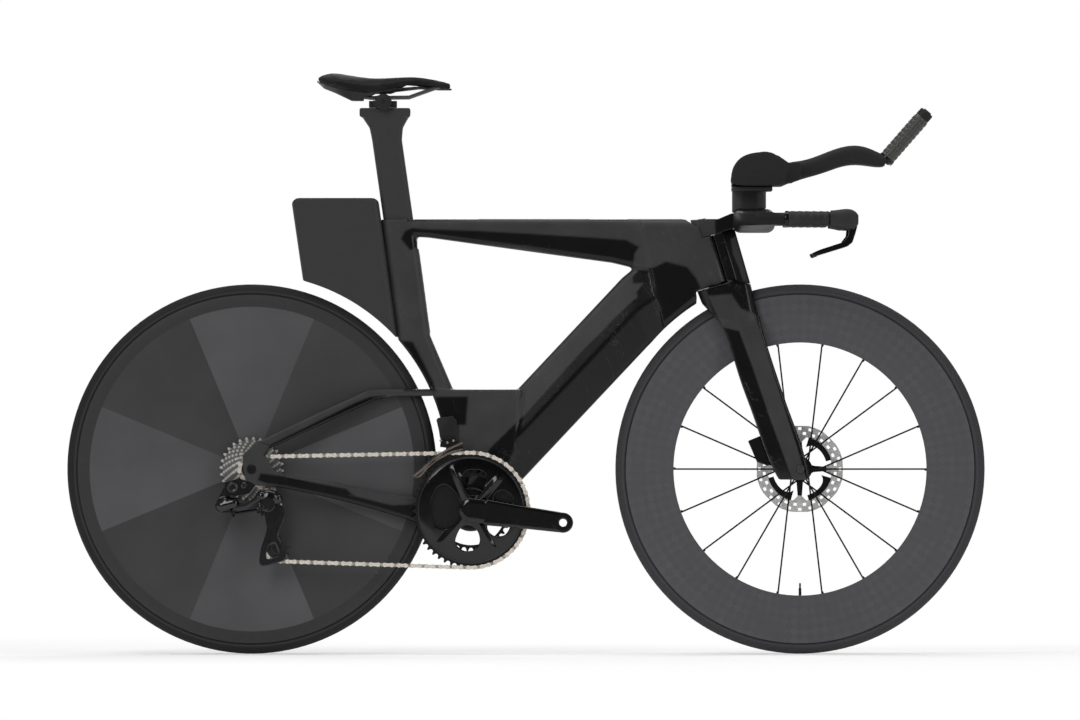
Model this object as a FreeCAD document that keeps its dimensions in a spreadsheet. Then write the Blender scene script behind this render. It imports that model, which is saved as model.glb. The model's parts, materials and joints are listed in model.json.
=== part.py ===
import FreeCAD, Part
import math
import os
import re
import Sketcher

# Time trial bike, right side towards -Y, front towards +X, wheels on the plane Z = 0.
# Every size is a cell of the sheet, in millimetres, degrees or counts. Outlines traced on the
# photograph are named tables of pixels, which photo() turns into millimetres.

Vector = FreeCAD.Vector
ORIGIN = Vector(0, 0, 0)
ACROSS = Vector(0, 1, 0)
UP = Vector(0, 0, 1)
FORWARD = Vector(1, 0, 0)

SIZES = {
    "general": {
        "wheelbase": 1003, "axle_gap_pixels": 548, "mid_pixel": 526, "ground_pixel": 653.7,
        "running_gap": 0.4, "fit_gap": 0.05, "overrun": 6,
    },
    "layout": {
        "tyre_radius": 338, "bb_setback": 400.8, "bb_drop": 75, "head_angle": 73, "fork_offset": 45,
        "crown_height": 366, "head_length": 90, "crank_angle": -7.7, "crank_length": 170,
    },
    "frame": {
        "wheel_cut_radius": 357, "seat_tube_width": 36, "seat_foot_width": 42, "web_top_width": 46,
        "web_mid_width": 54, "web_width": 66, "top_rear_width": 34, "top_tube_width": 38,
        "top_front_width": 48, "down_tube_width": 48, "down_front_width": 52, "head_width": 54,
        "head_radius": 27, "head_bore_radius": 20.5, "shell_radius": 39, "shell_width": 86.5,
        "bb_bore_radius": 20.5, "ridge_width": 50, "ridge_tip_width": 48, "crown_room_radius": 49,
        "stem_room_radius": 26, "post_room_depth": 190,
    },
    "stays": {
        "chainstay_root_side": 26, "chainstay_root_width": 20, "chainstay_ring_side": 27.2,
        "chainstay_ring_width": 16.5, "chainstay_mid_side": 37, "chainstay_mid_width": 16,
        "chainstay_rear_side": 52, "chainstay_rear_width": 15, "chainstay_tip_side": 71.5,
        "chainstay_tip_width": 12, "dropout_side": 75, "dropout_thickness": 8,
        "seatstay_root_side": 22, "seatstay_root_width": 14, "seatstay_front_side": 24.5,
        "seatstay_front_width": 13, "seatstay_bend_side": 31, "seatstay_bend_width": 13,
        "seatstay_mid_side": 52, "seatstay_mid_width": 12, "seatstay_tip_width": 9,
        "hanger_thickness": 7, "dropout_corner": 2,
    },
    "rear_wheel": {
        "tyre_width": 28, "rim_radius": 319, "rim_bed_radius": 309, "rim_bed_width": 20,
        "rim_width": 29, "rim_bulge_width": 31, "rear_rim_inner_radius": 297, "disc_skin": 1.2,
        "disc_hub_radius": 34, "disc_right_side": 18.5, "disc_left_side": 30, "flange_thickness": 2.5,
        "rear_barrel_radius": 20, "rear_locknut_width": 142, "rear_cap_radius": 10,
        "rotor_radius": 80, "rotor_track": 13, "rotor_thickness": 1.8, "rear_rotor_side": 55.7,
        "rotor_mount_radius": 17, "carrier_radius": 24, "rotor_arm_width": 9, "rotor_arms": 6,
        "axle_radius": 6, "axle_bore_radius": 6.05, "axle_head_length": 3,
        "rim_bulge_share": 0.35, "rotor_holes": 24, "rotor_hole_radius": 2.6,
    },
    "front_wheel": {
        "front_rim_inner_radius": 231.5, "front_rim_tip_width": 9, "front_locknut_width": 100,
        "front_cap_radius": 9, "front_barrel_radius": 11, "right_flange_side": 27,
        "left_flange_side": 21, "flange_radius": 22, "spoke_width": 3, "spoke_thickness": 1.1,
        "spoke_seat": 3, "front_rotor_side": 39.5, "spoke_groups": 6, "spoke_spread": 20,
        "spoke_hub_spread": 24, "spoke_pass": 3.2,
    },
    "drivetrain": {
        "chain_pitch": 12.7, "roller_radius": 3.85, "roller_gap": 0.1, "pulley_roller_gap": 0.3,
        "pin_radius": 1.8,
        "inner_half_width": 1.1, "inner_plate": 0.6, "plate_gap": 0.15, "outer_plate": 0.6,
        "plate_radius": 4.1, "plate_waist_share": 0.75, "tooth_height": 2.3, "tooth_tip": 1.6,
        "tooth_thickness": 1.6,
        "outer_teeth": 52, "inner_teeth": 36, "outer_ring_side": 48, "inner_ring_side": 40.5,
        "ring_band": 19, "inner_ring_band": 9, "ring_plate": 3, "bolt_circle_radius": 55,
        "ring_tab_width": 15, "ring_tab_end": 8, "ring_tab_share": 0.33, "sprocket_first_side": 63,
        "sprocket_pitch": 3.5,
        "freehub_radius": 17.4, "pulley_teeth": 11, "pulley_thickness": 1.8,
        "chain_hold": 45, "pulley_pin_radius": 3, "cage_swing": 25, "solver_steps": 40,
    },
    "crank": {
        "spindle_radius": 12, "spindle_half": 70, "cup_flange_radius": 22.5, "cup_flange": 2,
        "bearing_radius": 18.5, "bearing_width": 7, "arm_root_width": 51, "arm_mid_width": 42,
        "arm_tip_width": 37, "arm_root_side": 62, "arm_root_thickness": 15, "arm_mid_side": 65,
        "arm_tip_side": 67.5, "arm_tip_thickness": 13, "pedal_bore_radius": 7.14,
        "spider_front": 57, "spider_rear": 124.5, "spider_root_width": 26, "spider_tip_width": 15,
        "spider_reach": 90, "spider_thickness": 4.5,
    },
    "rear_mech": {
        "link_pin_back": 14, "lug_edge": 5, "lug_clear": 6, "motor_length": 36,
        "bracket_plate": 5, "cage_boss_radius": 7, "link_length": 52, "link_lean": 22, "link_tilt": 22.8,
        "link_pin_side": 88,
        "link_spread": 11, "link_thickness": 4, "link_height": 15, "link_pin_radius": 2.5,
        "knuckle_radius": 14, "knuckle_inner_side": 70, "knuckle_outer_side": 95,
        "cage_inner_side": 58.4, "cage_outer_side": 67.6, "cage_plate": 1.6, "cage_width": 20,
    },
    "front_mech": {
        "front_cage_outer_side": 53.4, "front_cage_inner_side": 42.2, "front_cage_plate": 1.2,
        "front_cage_inner_radius": 100, "front_cage_outer_radius": 119, "front_cage_start": 97,
        "front_cage_end": 139, "front_mech_inner_side": 16, "front_mech_outer_side": 35.5,
        "front_rod_radius": 1.8, "front_rod_grip": 2.5,
        "front_mech_corner": 1.6, "front_cage_guard_radius": 109, "front_cage_head": 11,
        "front_cage_tail": 6,
    },
    "brakes": {
        "caliper_width": 24, "caliper_slot": 5.2, "caliper_corner": 2, "pad_thickness": 1.5,
        "pad_width": 20,
        "pad_height": 12, "pad_reach": 79, "rear_pad_angle": 12, "front_pad_angle": 153,
    },
    "seat": {
        "post_width": 26, "post_gap": 0.25, "rail_radius": 3.5, "rail_side": 22, "table_corner": 1.6,
        "table_width": 32, "clamp_radius": 11.5, "clamp_ear_radius": 16.5, "clamp_half_width": 30,
        "saddle_rear_half": 64, "channel_width": 16, "cradle_cap_length": 18.4,
        "cradle_cap_height": 9.1,
    },
    "box": {"box_width": 46, "box_corner": 14},
    "fork": {
        "crown_half_width": 39, "tyre_slot_half": 23.5, "tyre_slot_radius": 347, "nose_radius": 28.4,
        "nose_width": 48, "nose_tip_width": 16, "crown_sweep_radius": 45, "blade_width": 17,
        "blade_tip_width": 15, "blade_top_side": 31.5, "blade_head_side": 34, "blade_mid_side": 40,
        "blade_knee_side": 46.5, "blade_low_side": 54.5, "blade_tip_side": 58, "nose_corner": 5.3,
        "stem_grip": 34, "steerer_radius": 14.3, "bearing_height": 7,
    },
    "cockpit": {
        "stem_radius": 24, "stem_width": 44, "wing_width": 400, "horn_inset": 12, "horn_radius": 11,
        "tape_thickness": 2.6, "hood_radius": 15.5, "lever_width": 12,
        "lever_pin_radius": 2.5, "riser_width": 56, "plate_half_width": 92, "cup_side": 62,
        "cup_half_width": 46, "cup_wall": 4.5, "extension_side": 54, "extension_width": 32,
        "hand_radius": 11, "grip_radius": 14.5, "button_radius": 8, "button_travel": 1.5, "button_depth": 6,
        "pod_gap": 1.2, "plate_corner": 0.8, "lever_corner": 0.8,
        "pad_layer": 7, "pad_gap": 0.3, "cap_length": 15,
    },
}
SPROCKET_TEETH = (11, 12, 13, 14, 15, 16, 17, 19, 21, 23, 25, 28)

# Outlines on the photograph, in pixels: pairs of opposite edges, or closed outlines.
REAR_AXLE_PIXEL = (252, 469)
TOP_TUBE_PIXELS = (((386, 219), (388, 235)), ((430, 219), (430, 238)), ((610, 219), (612, 263)),
                   ((676, 219), (684, 280)))
DOWN_TUBE_PIXELS = (((466, 425), (471, 531)), ((517, 390), (524, 478)), ((622, 278), (650, 344)),
                    ((668, 240), (704, 312)))
SEAT_TUBE_PIXELS = (((381.5, 219), (414.5, 219)), ((397.5, 335), (430, 335)), ((404, 389), (453, 389)),
                    ((420, 440), (492, 440)))
WEB_PIXELS = (((420, 389.5), (523, 389.5)), ((436, 450), (520, 450)), ((450, 512), (496, 512)))
HEAD_BLOCK_PIXELS = (((640, 219), (664, 330)), ((697, 219), (718, 286)))
RIDGE_PIXELS = (((424, 388.5), (424, 396.5)), ((522, 392), (522, 395)))
CHAINSTAY_PIXELS = (((458, 496), (458, 530)), ((420, 497), (420, 523)), ((380, 491.5), (380, 511)),
                    ((340, 483.5), (340, 500)), ((292, 476.5), (292, 489.5)), ((268, 470), (268, 484)))
DROPOUT_PIXELS = ((258, 441), (243, 455), (244, 470), (246, 480), (256, 485), (282, 487), (288, 476),
                  (275, 470), (266, 456), (271, 446))
SEATSTAY_PIXELS = (((434, 389), (434, 396)), ((392, 389), (394, 396.5)), ((368, 390), (377, 399.5)),
                   ((315, 414.5), (321, 425)), ((256, 443), (263, 452)))
HANGER_PIXELS = ((246, 480.3), (240, 478), (226, 482), (226, 492), (236, 496), (250, 493), (256, 485.3))
HANGER_BOLT_PIXEL = (232.5, 487.5)
POST_PIXELS = (((391.3, 275), (421.3, 275)), ((383, 217), (413, 217)), ((372, 140), (402, 140)))
POST_FLARE_PIXELS = (((372, 140), (402, 140)), ((369.5, 128), (403, 128)), ((362, 117), (409, 117)))
POST_TABLE_PIXELS = ((359.5, 108), (410.5, 108), (410.5, 117), (359.5, 117))
BOX_PIXELS = (((291, 198), (378.2, 198)), ((312, 342), (398, 342)))
BOX_OUTLINE_PIXELS = ((290.5, 198), (378.5, 198), (400, 345), (330, 345), (301.5, 281))
CLAMP_PIXEL = (382, 100.5)
CLAMP_BASE_PIXELS = ((369, 101), (397, 101), (397, 107.8), (369, 107.8))
CLAMP_ROOM_PIXELS = ((364, 94), (400, 94), (400, 112), (364, 112))
RAIL_PIXELS = ((349, 95), (371, 98), (409, 97.5), (440, 86.5))
SADDLE_PIXELS = ((317, 77.5, 80), (324, 74.4, 84), (336, 74, 87.3), (352, 76, 91), (372, 78.8, 92),
                 (396, 79.5, 88), (420, 79.3, 86.3), (440, 81.4, 87.8), (452, 84.6, 88.6))
SADDLE_HALF_SHARES = (0.55, 0.88, 1, 0.97, 0.74, 0.52, 0.42, 0.39, 0.26)
SHELL_DEPTH_PIXELS = (2, 4.5, 6, 10, 9, 4, 3, 2.6, 1.8)
CROWN_PIXELS = ((697, 291), (730, 282), (751, 288), (758, 311), (761, 320), (718, 320), (702, 304))
NOSE_PIXELS = (((706, 226), (734, 227)), ((727, 293), (752.5, 291)))
BLADE_PIXELS = (((715, 316), (759.5, 316)), ((726, 335), (764, 335)), ((737, 370), (775, 370)),
                ((750, 407), (787.5, 407)), ((761.5, 440), (799.5, 440)), ((769, 460), (805.5, 460)),
                ((779, 479.5), (809.5, 479.5)))
STEM_PIXELS = ((690, 220), (718, 219), (731, 213.4), (737, 213.4), (737, 231.5), (700, 241))
WING_PIXELS = (((732, 221), (775, 221), 24), ((735, 219.5), (772, 219.5), 18),
               ((742, 219.3), (774, 219.3), 14), ((756, 219.3), (778, 219.3), 12))
WING_SIDE_SHARES = (0, 0.4, 0.8, 0.98)
HORN_PIXELS = ((758, 219.3), (784, 219.3), (828, 219.7), (846, 219.7))
HOOD_PIXELS = (((829, 211), (829, 228)), ((840, 210), (840, 230)), ((852, 211), (852, 230)),
               ((857, 216), (857, 226)))
LEVER_PIXELS = ((848, 226), (856, 226.5), (854, 234), (851, 243), (846, 247), (820, 255), (812, 257.5),
                (810.5, 254), (819, 250), (842, 242.5), (847, 236))
LEVER_PIN_PIXEL = (852, 229)
RISER_PIXELS = (((732, 213), (766, 213)), ((732, 191), (766, 191)))
PLATE_PIXELS = ((731.5, 186.9), (772, 186.9), (772, 191.5), (731.5, 191.5))
CUP_PIXELS = ((731, 186.8), (734, 170), (741, 159), (754, 154.5), (767, 153), (778, 156), (788, 163),
              (800, 163), (800, 180), (787, 184), (781, 186.8))
EXTENSION_PIXELS = (((788, 163), (790, 184)), ((800, 161), (806, 178)), ((830, 151), (836, 168.5)),
                    ((853, 145.8), (853, 165)), ((872, 150), (870, 166.4)), ((887, 156), (884, 166.6)))
GRIP_PIXELS = ((884, 161.5), (921.5, 118.5))
CALIPER_FRONT_PIXELS = ((748, 441), (760, 436), (772, 447), (776, 460), (768, 466), (757, 462))
CALIPER_REAR_PIXELS = ((272, 448), (292, 458), (300, 474), (291, 477), (277, 471), (268, 457))
FRONT_MECH_PIXELS = ((436, 418), (453, 416), (457, 421), (457, 441), (452, 445), (441, 445), (439, 431))
FRONT_ARM_PIXELS = ((441, 437), (452, 437), (460, 445), (458, 449), (440, 447))
GUIDE_PIXEL = (268, 504)
TENSION_PIXEL = (275, 549)
HOOD_SLOT_PIXELS = ((842, 223), (860, 221), (860, 236), (842, 236))
HOOD_WIDTH_SHARES = (0.94, 1, 0.96, 0.55)
SHOULDER_PIXELS = (((724, 280), (750.5, 284)), ((715, 320), (761, 322)))
STEM_BLOCK_PIXELS = ((698.5, 219), (718, 219), (731, 213.4), (737, 213.4), (737, 231.5), (705, 241))
PAD_PIXELS = ((735, 162), (742, 162), (756, 162), (770, 162), (776, 162))
PAD_LAYER_SHARES = (0.55, 0.95, 1, 0.95, 0.55)
PAD_TURNS = (188, 270, 352)
BRACKET_PLATE_PIXELS = ((227, 482.5), (238, 482.5), (239, 493), (229.5, 497.5), (227, 510), (216, 510),
                        (218, 494))
FRONT_ROD_PIXELS = ((444, 440.5), (451.5, 440.5))
RAIL_SIDE_SHARES = (1.3, 1, 1, 0.75)
SADDLE_SHOULDER_SHARE = 0.45
SADDLE_FOOT_SHARE = 0.8
SHELL_TOP_SHARE = 0.76
SHELL_FOOT_SHARE = 0.5
WING_ROUND_SHARE = 0.35
ARM_PLACE_SHARES = (0, 0.5, 1)
ROTOR_HOLE_SHARES = ((0.3, 0), (0.7, 0.5))
CHANNEL_PIXELS = ((345, 70), (460, 74), (460, 92), (345, 81))

doc = FreeCAD.newDocument("time_trial_bike")
sheet = doc.addObject("Spreadsheet::Sheet", "Sheet")


def fill_sheet():
    """Write every size to the sheet, one row each, with its alias."""
    row = 1
    for piece, values in SIZES.items():
        sheet.set(f"A{row}", piece)
        row += 1
        for alias, value in values.items():
            sheet.set(f"A{row}", alias)
            sheet.set(f"B{row}", str(value))
            sheet.setAlias(f"B{row}", alias)
            row += 1
    doc.recompute()


def mm(alias):
    """Value of one cell of the sheet."""
    return float(sheet.get(alias))


def count(alias):
    """Whole number in one cell of the sheet."""
    return int(round(mm(alias)))


def photo(pixel, across=0):
    """Point in the frame for a pixel of the photograph, at a distance across the bike."""
    scale = mm("wheelbase") / mm("axle_gap_pixels")
    return Vector((pixel[0] - mm("mid_pixel")) * scale, across, (mm("ground_pixel") - pixel[1]) * scale)


def pixels(amount):
    """Length of a number of pixels."""
    return amount * mm("wheelbase") / mm("axle_gap_pixels")


def direction(angle):
    """Unit vector in the side plane, with the angle in degrees from forward to up."""
    return Vector(math.cos(math.radians(angle)), 0, math.sin(math.radians(angle)))


def rear_axle():
    return Vector(photo(REAR_AXLE_PIXEL).x, 0, mm("tyre_radius"))


def front_axle():
    return rear_axle() + FORWARD * mm("wheelbase")


def horn_side():
    """Distance of a horn's line from the middle of the bike."""
    return mm("wing_width") / 2 - mm("horn_inset")


def bottom_bracket():
    return rear_axle() + Vector(mm("bb_setback"), 0, -mm("bb_drop"))


def steering_direction():
    return direction(180 - mm("head_angle"))


def on_steering_axis(height):
    """Point of the steering axis, at a height along it from the foot nearest the axle."""
    foot = front_axle() - direction(90 - mm("head_angle")) * mm("fork_offset")
    return foot + steering_direction() * height


def head_top():
    return mm("crown_height") + mm("head_length")


def rounded_wire(points, radius):
    """Closed wire through the points, with each corner rounded by an arc."""
    corners = []
    for i, corner in enumerate(points):
        back = (points[i - 1] - corner).normalize()
        ahead = (points[(i + 1) % len(points)] - corner).normalize()
        half = back.getAngle(ahead) / 2
        reach = radius / math.tan(half)
        middle = corner + (back + ahead).normalize() * (radius / math.sin(half) - radius)
        corners.append((corner + back * reach, middle, corner + ahead * reach))
    edges = []
    for i, (start, middle, end) in enumerate(corners):
        edges.append(Part.Arc(start, middle, end).toShape())
        edges.append(Part.LineSegment(end, corners[(i + 1) % len(corners)][0]).toShape())
    return Part.Wire(edges)


def section(first, second, width, across=0, round_share=0.42, waist_share=None):
    """Rounded section between two edge points of the side view, as wide as given across the bike.

    With a waist share the section is widest half way and narrows to that share at both edges.
    """
    depth = second - first
    side = ACROSS * (width / 2)
    shift = ACROSS * across
    if waist_share is None:
        points = [first + side, second + side, second - side, first - side]
        radius = round_share * min(depth.Length, width)
    else:
        middle = (first + second) * 0.5
        slim = side * waist_share
        points = [first + slim, middle + side, second + slim, second - slim, middle - side, first - slim]
        radius = round_share * width * waist_share / 2
    return rounded_wire([point + shift for point in points], radius)


def tube(pairs, widths, sides=None, smooth=False, round_share=0.42, waist_share=None):
    """Loft through pairs of edge pixels, with a width and a distance across for each pair."""
    sides = sides or [0] * len(pairs)
    wires = [section(photo(first), photo(second), width, side, round_share, waist_share)
             for (first, second), width, side in zip(pairs, widths, sides)]
    return Part.makeLoft(wires, True, not smooth)


def prism(outline, near, far, radius=0):
    """Outline of pixels extruded across the bike, between two distances."""
    points = [photo(pixel, near) for pixel in outline]
    wire = rounded_wire(points, radius) if radius else Part.makePolygon(points + points[:1])
    return Part.Face(wire).extrude(ACROSS * (far - near))


def cylinder(radius, start, along, length):
    return Part.makeCylinder(radius, length, start, along)


def ring(outer, inner, start, along, length):
    """Tube with a plain bore."""
    overrun = mm("overrun")
    bore = cylinder(inner, start - along * overrun, along, length + 2 * overrun)
    return cylinder(outer, start, along, length).cut(bore)


def across_cylinder(radius, centre, near, far):
    """Cylinder along Y about a centre of the side view, between two distances across."""
    return cylinder(radius, Vector(centre.x, near, centre.z), ACROSS, far - near)


def across_ring(outer, inner, centre, near, far):
    return ring(outer, inner, Vector(centre.x, near, centre.z), ACROSS, far - near)


def mirrored(shape):
    """Same piece on the other side of the bike."""
    return shape.mirror(ORIGIN, ACROSS)


def both_sides(shape):
    return Part.makeCompound([shape, mirrored(shape)])


def add(label, shape, base=ORIGIN):
    """Give a shape to the document under its own label, placed at a base point."""
    piece = doc.addObject("Part::Feature", label)
    piece.Label = label
    piece.Shape = shape
    piece.Placement = FreeCAD.Placement(base, FreeCAD.Rotation())
    return piece


def add_axle(label, radius, half_length, centre):
    """Plain axle along Y, bound to the sheet."""
    axle = doc.addObject("Part::Cylinder", label)
    axle.Label = label
    axle.setExpression("Radius", owned(radius))
    axle.setExpression("Height", f"2 * {half_length}")
    axle.Placement = FreeCAD.Placement(centre, FreeCAD.Rotation(FORWARD, -90))
    axle.setExpression(".Placement.Base.y", f"-({half_length})")
    return axle


def add_turned(label, profile, centre):
    """Body turned about Y: a closed profile of (radius, distance across) expressions."""
    body = doc.addObject("PartDesign::Body", label)
    body.Label = label
    plane = [item for item in body.Origin.OriginFeatures if item.Role == "XY_Plane"][0]
    sketch = body.newObject("Sketcher::SketchObject", f"{label}_profile")
    sketch.AttachmentSupport = [(plane, "")]
    sketch.MapMode = "FlatFace"
    points = [Vector(*(float(sheet.evalExpression(text)) for text in pair), 0) for pair in profile]
    for i, point in enumerate(points):
        sketch.addGeometry(Part.LineSegment(point, points[(i + 1) % len(points)]), False)
    for i, (radius, across) in enumerate(profile):
        sketch.addConstraint(Sketcher.Constraint("Coincident", i, 2, (i + 1) % len(points), 1))
        for kind, text, value in (("DistanceX", radius, points[i].x), ("DistanceY", across, points[i].y)):
            index = sketch.addConstraint(Sketcher.Constraint(kind, -1, 1, i, 1, value))
            sketch.setExpression(f"Constraints[{index}]", text)
    turned = body.newObject("PartDesign::Revolution", f"{label}_turned")
    turned.Profile = sketch
    turned.ReferenceAxis = (sketch, ["V_Axis"])
    turned.Angle = 360
    body.Placement = FreeCAD.Placement(centre, FreeCAD.Rotation())
    return body


def post_shape(gap, foot):
    """Seat post below its flare, or the room for it: grown by a gap and drawn down by a foot."""
    lean = (photo(POST_PIXELS[0][0]) - photo(POST_PIXELS[1][0])).normalize()
    wires = []
    for i, (rear, front) in enumerate(POST_PIXELS):
        drop = lean * (foot if i == 0 else 0)
        grow = FORWARD * gap
        start, end = photo(rear) - grow + drop, photo(front) + grow + drop
        wires.append(section(start, end, mm("post_width") + 2 * gap))
    return Part.makeLoft(wires, True, True)


def front_triangle():
    """Head, top, down and seat tubes with the bottom bracket shell, as one moulded piece."""
    names = ("top_rear_width", "top_rear_width", "top_tube_width", "top_front_width")
    pieces = [tube(TOP_TUBE_PIXELS, [mm(name) for name in names], round_share=0.3)]
    names = ("web_width", "down_tube_width", "down_tube_width", "down_front_width")
    pieces.append(tube(DOWN_TUBE_PIXELS, [mm(name) for name in names], round_share=0.7, waist_share=0.5))
    names = ("seat_tube_width", "seat_tube_width", "seat_foot_width", "web_mid_width")
    pieces.append(tube(SEAT_TUBE_PIXELS, [mm(name) for name in names], round_share=0.4))
    names = ("web_top_width", "web_mid_width", "web_width")
    pieces.append(tube(WEB_PIXELS, [mm(name) for name in names], round_share=0.3))
    names = ("down_front_width", "head_width")
    pieces.append(tube(HEAD_BLOCK_PIXELS, [mm(name) for name in names], round_share=0.3))
    pieces.append(tube(RIDGE_PIXELS, [mm("ridge_width"), mm("ridge_tip_width")], round_share=0.2))
    half = mm("shell_width") / 2
    pieces.append(across_cylinder(mm("shell_radius"), bottom_bracket(), -half, half))
    axis = steering_direction()
    foot = mm("crown_height") + mm("running_gap")
    pieces.append(cylinder(mm("head_radius"), on_steering_axis(foot), axis, head_top() - foot))
    shape = pieces[0].multiFuse(pieces[1:])
    wide = mm("wing_width")
    overrun = mm("overrun")
    cuts = [across_cylinder(mm("wheel_cut_radius"), rear_axle(), -wide, wide),
            across_cylinder(mm("wheel_cut_radius"), front_axle(), -wide, wide)]
    cuts.append(cylinder(mm("crown_room_radius"), on_steering_axis(foot), -axis, mm("crown_height")))
    cuts.append(cylinder(mm("stem_room_radius"), on_steering_axis(head_top()), axis, mm("head_length")))
    cuts.append(cylinder(mm("head_bore_radius"), on_steering_axis(foot - overrun), axis, wide))
    cuts.append(across_cylinder(mm("bb_bore_radius"), bottom_bracket(), -wide, wide))
    cuts.append(post_shape(mm("post_gap"), mm("post_room_depth") / 2))
    return shape.cut(cuts).removeSplitter()


def chainstay(frame):
    """Right chainstay with its dropout plate, flush against the front triangle."""
    sides = ("root", "ring", "mid", "rear", "tip")
    widths = [mm(f"chainstay_{name}_width") for name in sides] + [mm("dropout_thickness")]
    across = [-mm(f"chainstay_{name}_side") for name in sides] + [-mm("dropout_side")]
    stay = tube(CHAINSTAY_PIXELS, widths, across, smooth=True, round_share=0.35)
    outer = mm("dropout_side") + mm("dropout_thickness") / 2
    plate = prism(DROPOUT_PIXELS, -outer, -outer + mm("dropout_thickness"), mm("dropout_corner"))
    stay = stay.cut(frame).fuse(plate)
    return stay.cut(across_cylinder(mm("axle_bore_radius"), rear_axle(), -mm("wing_width"), 0))


def seatstay(frame, lower):
    """Right seatstay, flush against the front triangle and the dropout."""
    sides = ("root", "front", "bend", "mid")
    widths = [mm(f"seatstay_{name}_width") for name in sides] + [mm("seatstay_tip_width")]
    across = [-mm(f"seatstay_{name}_side") for name in sides] + [-mm("dropout_side")]
    stay = tube(SEATSTAY_PIXELS, widths, across, round_share=0.35)
    return largest(stay.cut(frame).cut(lower))


def largest(shape):
    """Biggest solid of a shape, without the offcuts."""
    return max(shape.Solids, key=lambda solid: solid.Volume)


def add_frame():
    """Front triangle, stays, hanger and the pieces fixed in them."""
    frame = front_triangle()
    add("front_triangle", frame)
    lower = largest(chainstay(frame))
    chainstays = both_sides(lower)
    add("chainstays", chainstays)
    seatstays = both_sides(seatstay(frame, lower))
    add("seatstays", seatstays)
    outer = mm("dropout_side") + mm("dropout_thickness") / 2
    hanger = prism(HANGER_PIXELS, -outer, -outer + mm("hanger_thickness")).cut(lower)
    bolt = across_cylinder(mm("pulley_pin_radius"), photo(HANGER_BOLT_PIXEL), -mm("wing_width"), 0)
    add("derailleur_hanger", largest(hanger.cut(bolt)))
    add("storage_box", storage_box(frame))
    half = mm("shell_width") / 2
    flange = mm("cup_flange")
    centre = bottom_bracket()
    seat = half - mm("bearing_width")
    cup = across_cylinder(mm("bb_bore_radius") - mm("fit_gap"), centre, seat - flange, half)
    cup = cup.fuse(across_cylinder(mm("cup_flange_radius"), centre, half, half + flange))
    cup = cup.cut(across_cylinder(mm("bearing_radius"), centre, seat, half + flange))
    cup = cup.cut(across_cylinder(mm("spindle_radius") + mm("running_gap"), centre, 0, seat))
    add("bottom_bracket_cups", both_sides(cup))
    bearing = across_ring(mm("bearing_radius"), mm("spindle_radius") + mm("fit_gap"), centre, seat, half)
    add("bottom_bracket_bearings", both_sides(bearing))
    axis = steering_direction()
    rise = mm("bearing_height")
    starts = (mm("crown_height") + 2 * mm("running_gap"), head_top() - rise)
    outer, inner = mm("head_bore_radius"), mm("steerer_radius") + mm("fit_gap")
    rings = [ring(outer, inner, on_steering_axis(start), axis, rise) for start in starts]
    add("headset_bearings", Part.makeCompound(rings))
    return frame, [chainstays, seatstays]


def storage_box(frame):
    """Box behind the seat tube, with its foot cut round the wheel."""
    box = tube(BOX_PIXELS, [mm("box_width")] * len(BOX_PIXELS), round_share=0.26)
    wide = mm("wing_width")
    box = box.common(prism(BOX_OUTLINE_PIXELS, -wide, wide, mm("box_corner")))
    box = box.cut(across_cylinder(mm("wheel_cut_radius"), rear_axle(), -wide, wide))
    return largest(box.cut(frame))


def pitch_radius(teeth):
    return mm("chain_pitch") / (2 * math.sin(math.pi / teeth))


def tooth_radius(teeth):
    return pitch_radius(teeth) + mm("tooth_height")


def toothed_disc(teeth, centre, near, far, phase, gap="roller_gap"):
    """Disc with seats for the rollers at the phase angle and every tooth from there."""
    pitch = pitch_radius(teeth)
    seat = mm("roller_radius") + mm(gap)
    half_tip = mm("tooth_tip") / 2
    base = Vector(centre.x, near, centre.z)
    edges = []
    step = 360 / teeth
    for i in range(teeth):
        out, side = direction(phase + i * step), direction(phase + i * step + 90)
        middle, following = direction(phase + (i + 0.5) * step), direction(phase + (i + 0.5) * step + 90)
        hollow = base + out * pitch
        start, end = hollow - side * seat, hollow + side * seat
        edges.append(Part.Arc(start, hollow - out * seat, end).toShape())
        tip = base + middle * tooth_radius(teeth)
        first, second = tip - following * half_tip, tip + following * half_tip
        out, side = direction(phase + (i + 1) * step), direction(phase + (i + 1) * step + 90)
        nearest = base + out * pitch - side * seat
        edges.append(Part.LineSegment(end, first).toShape())
        edges.append(Part.LineSegment(first, second).toShape())
        edges.append(Part.LineSegment(second, nearest).toShape())
    return Part.Face(Part.Wire(edges)).extrude(ACROSS * (far - near))


def tyre():
    """Tyre seated in the rim's bed, round above it."""
    fit = mm("fit_gap")
    base, lip, crown = mm("rim_bed_radius") + fit, mm("rim_radius") + fit, mm("tyre_radius")
    half_bed, half = mm("rim_bed_width") / 2 - fit, mm("tyre_width") / 2
    widest = crown - half
    foot, low, high = Vector(base, half_bed, 0), Vector(lip, half_bed, 0), Vector(widest, half, 0)
    near_foot, near_low, near_high = [point - ACROSS * (2 * point.y) for point in (foot, low, high)]
    slant, top = direction(45) * half, Vector(crown, 0, 0)
    edges = [Part.LineSegment(foot, low), Part.LineSegment(low, high),
             Part.Arc(high, Vector(widest + slant.x, slant.z, 0), top),
             Part.Arc(top, Vector(widest + slant.x, -slant.z, 0), near_high),
             Part.LineSegment(near_high, near_low), Part.LineSegment(near_low, near_foot),
             Part.LineSegment(near_foot, foot)]
    face = Part.Face(Part.Wire([edge.toShape() for edge in edges]))
    return face.revolve(ORIGIN, ACROSS, 360)


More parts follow.
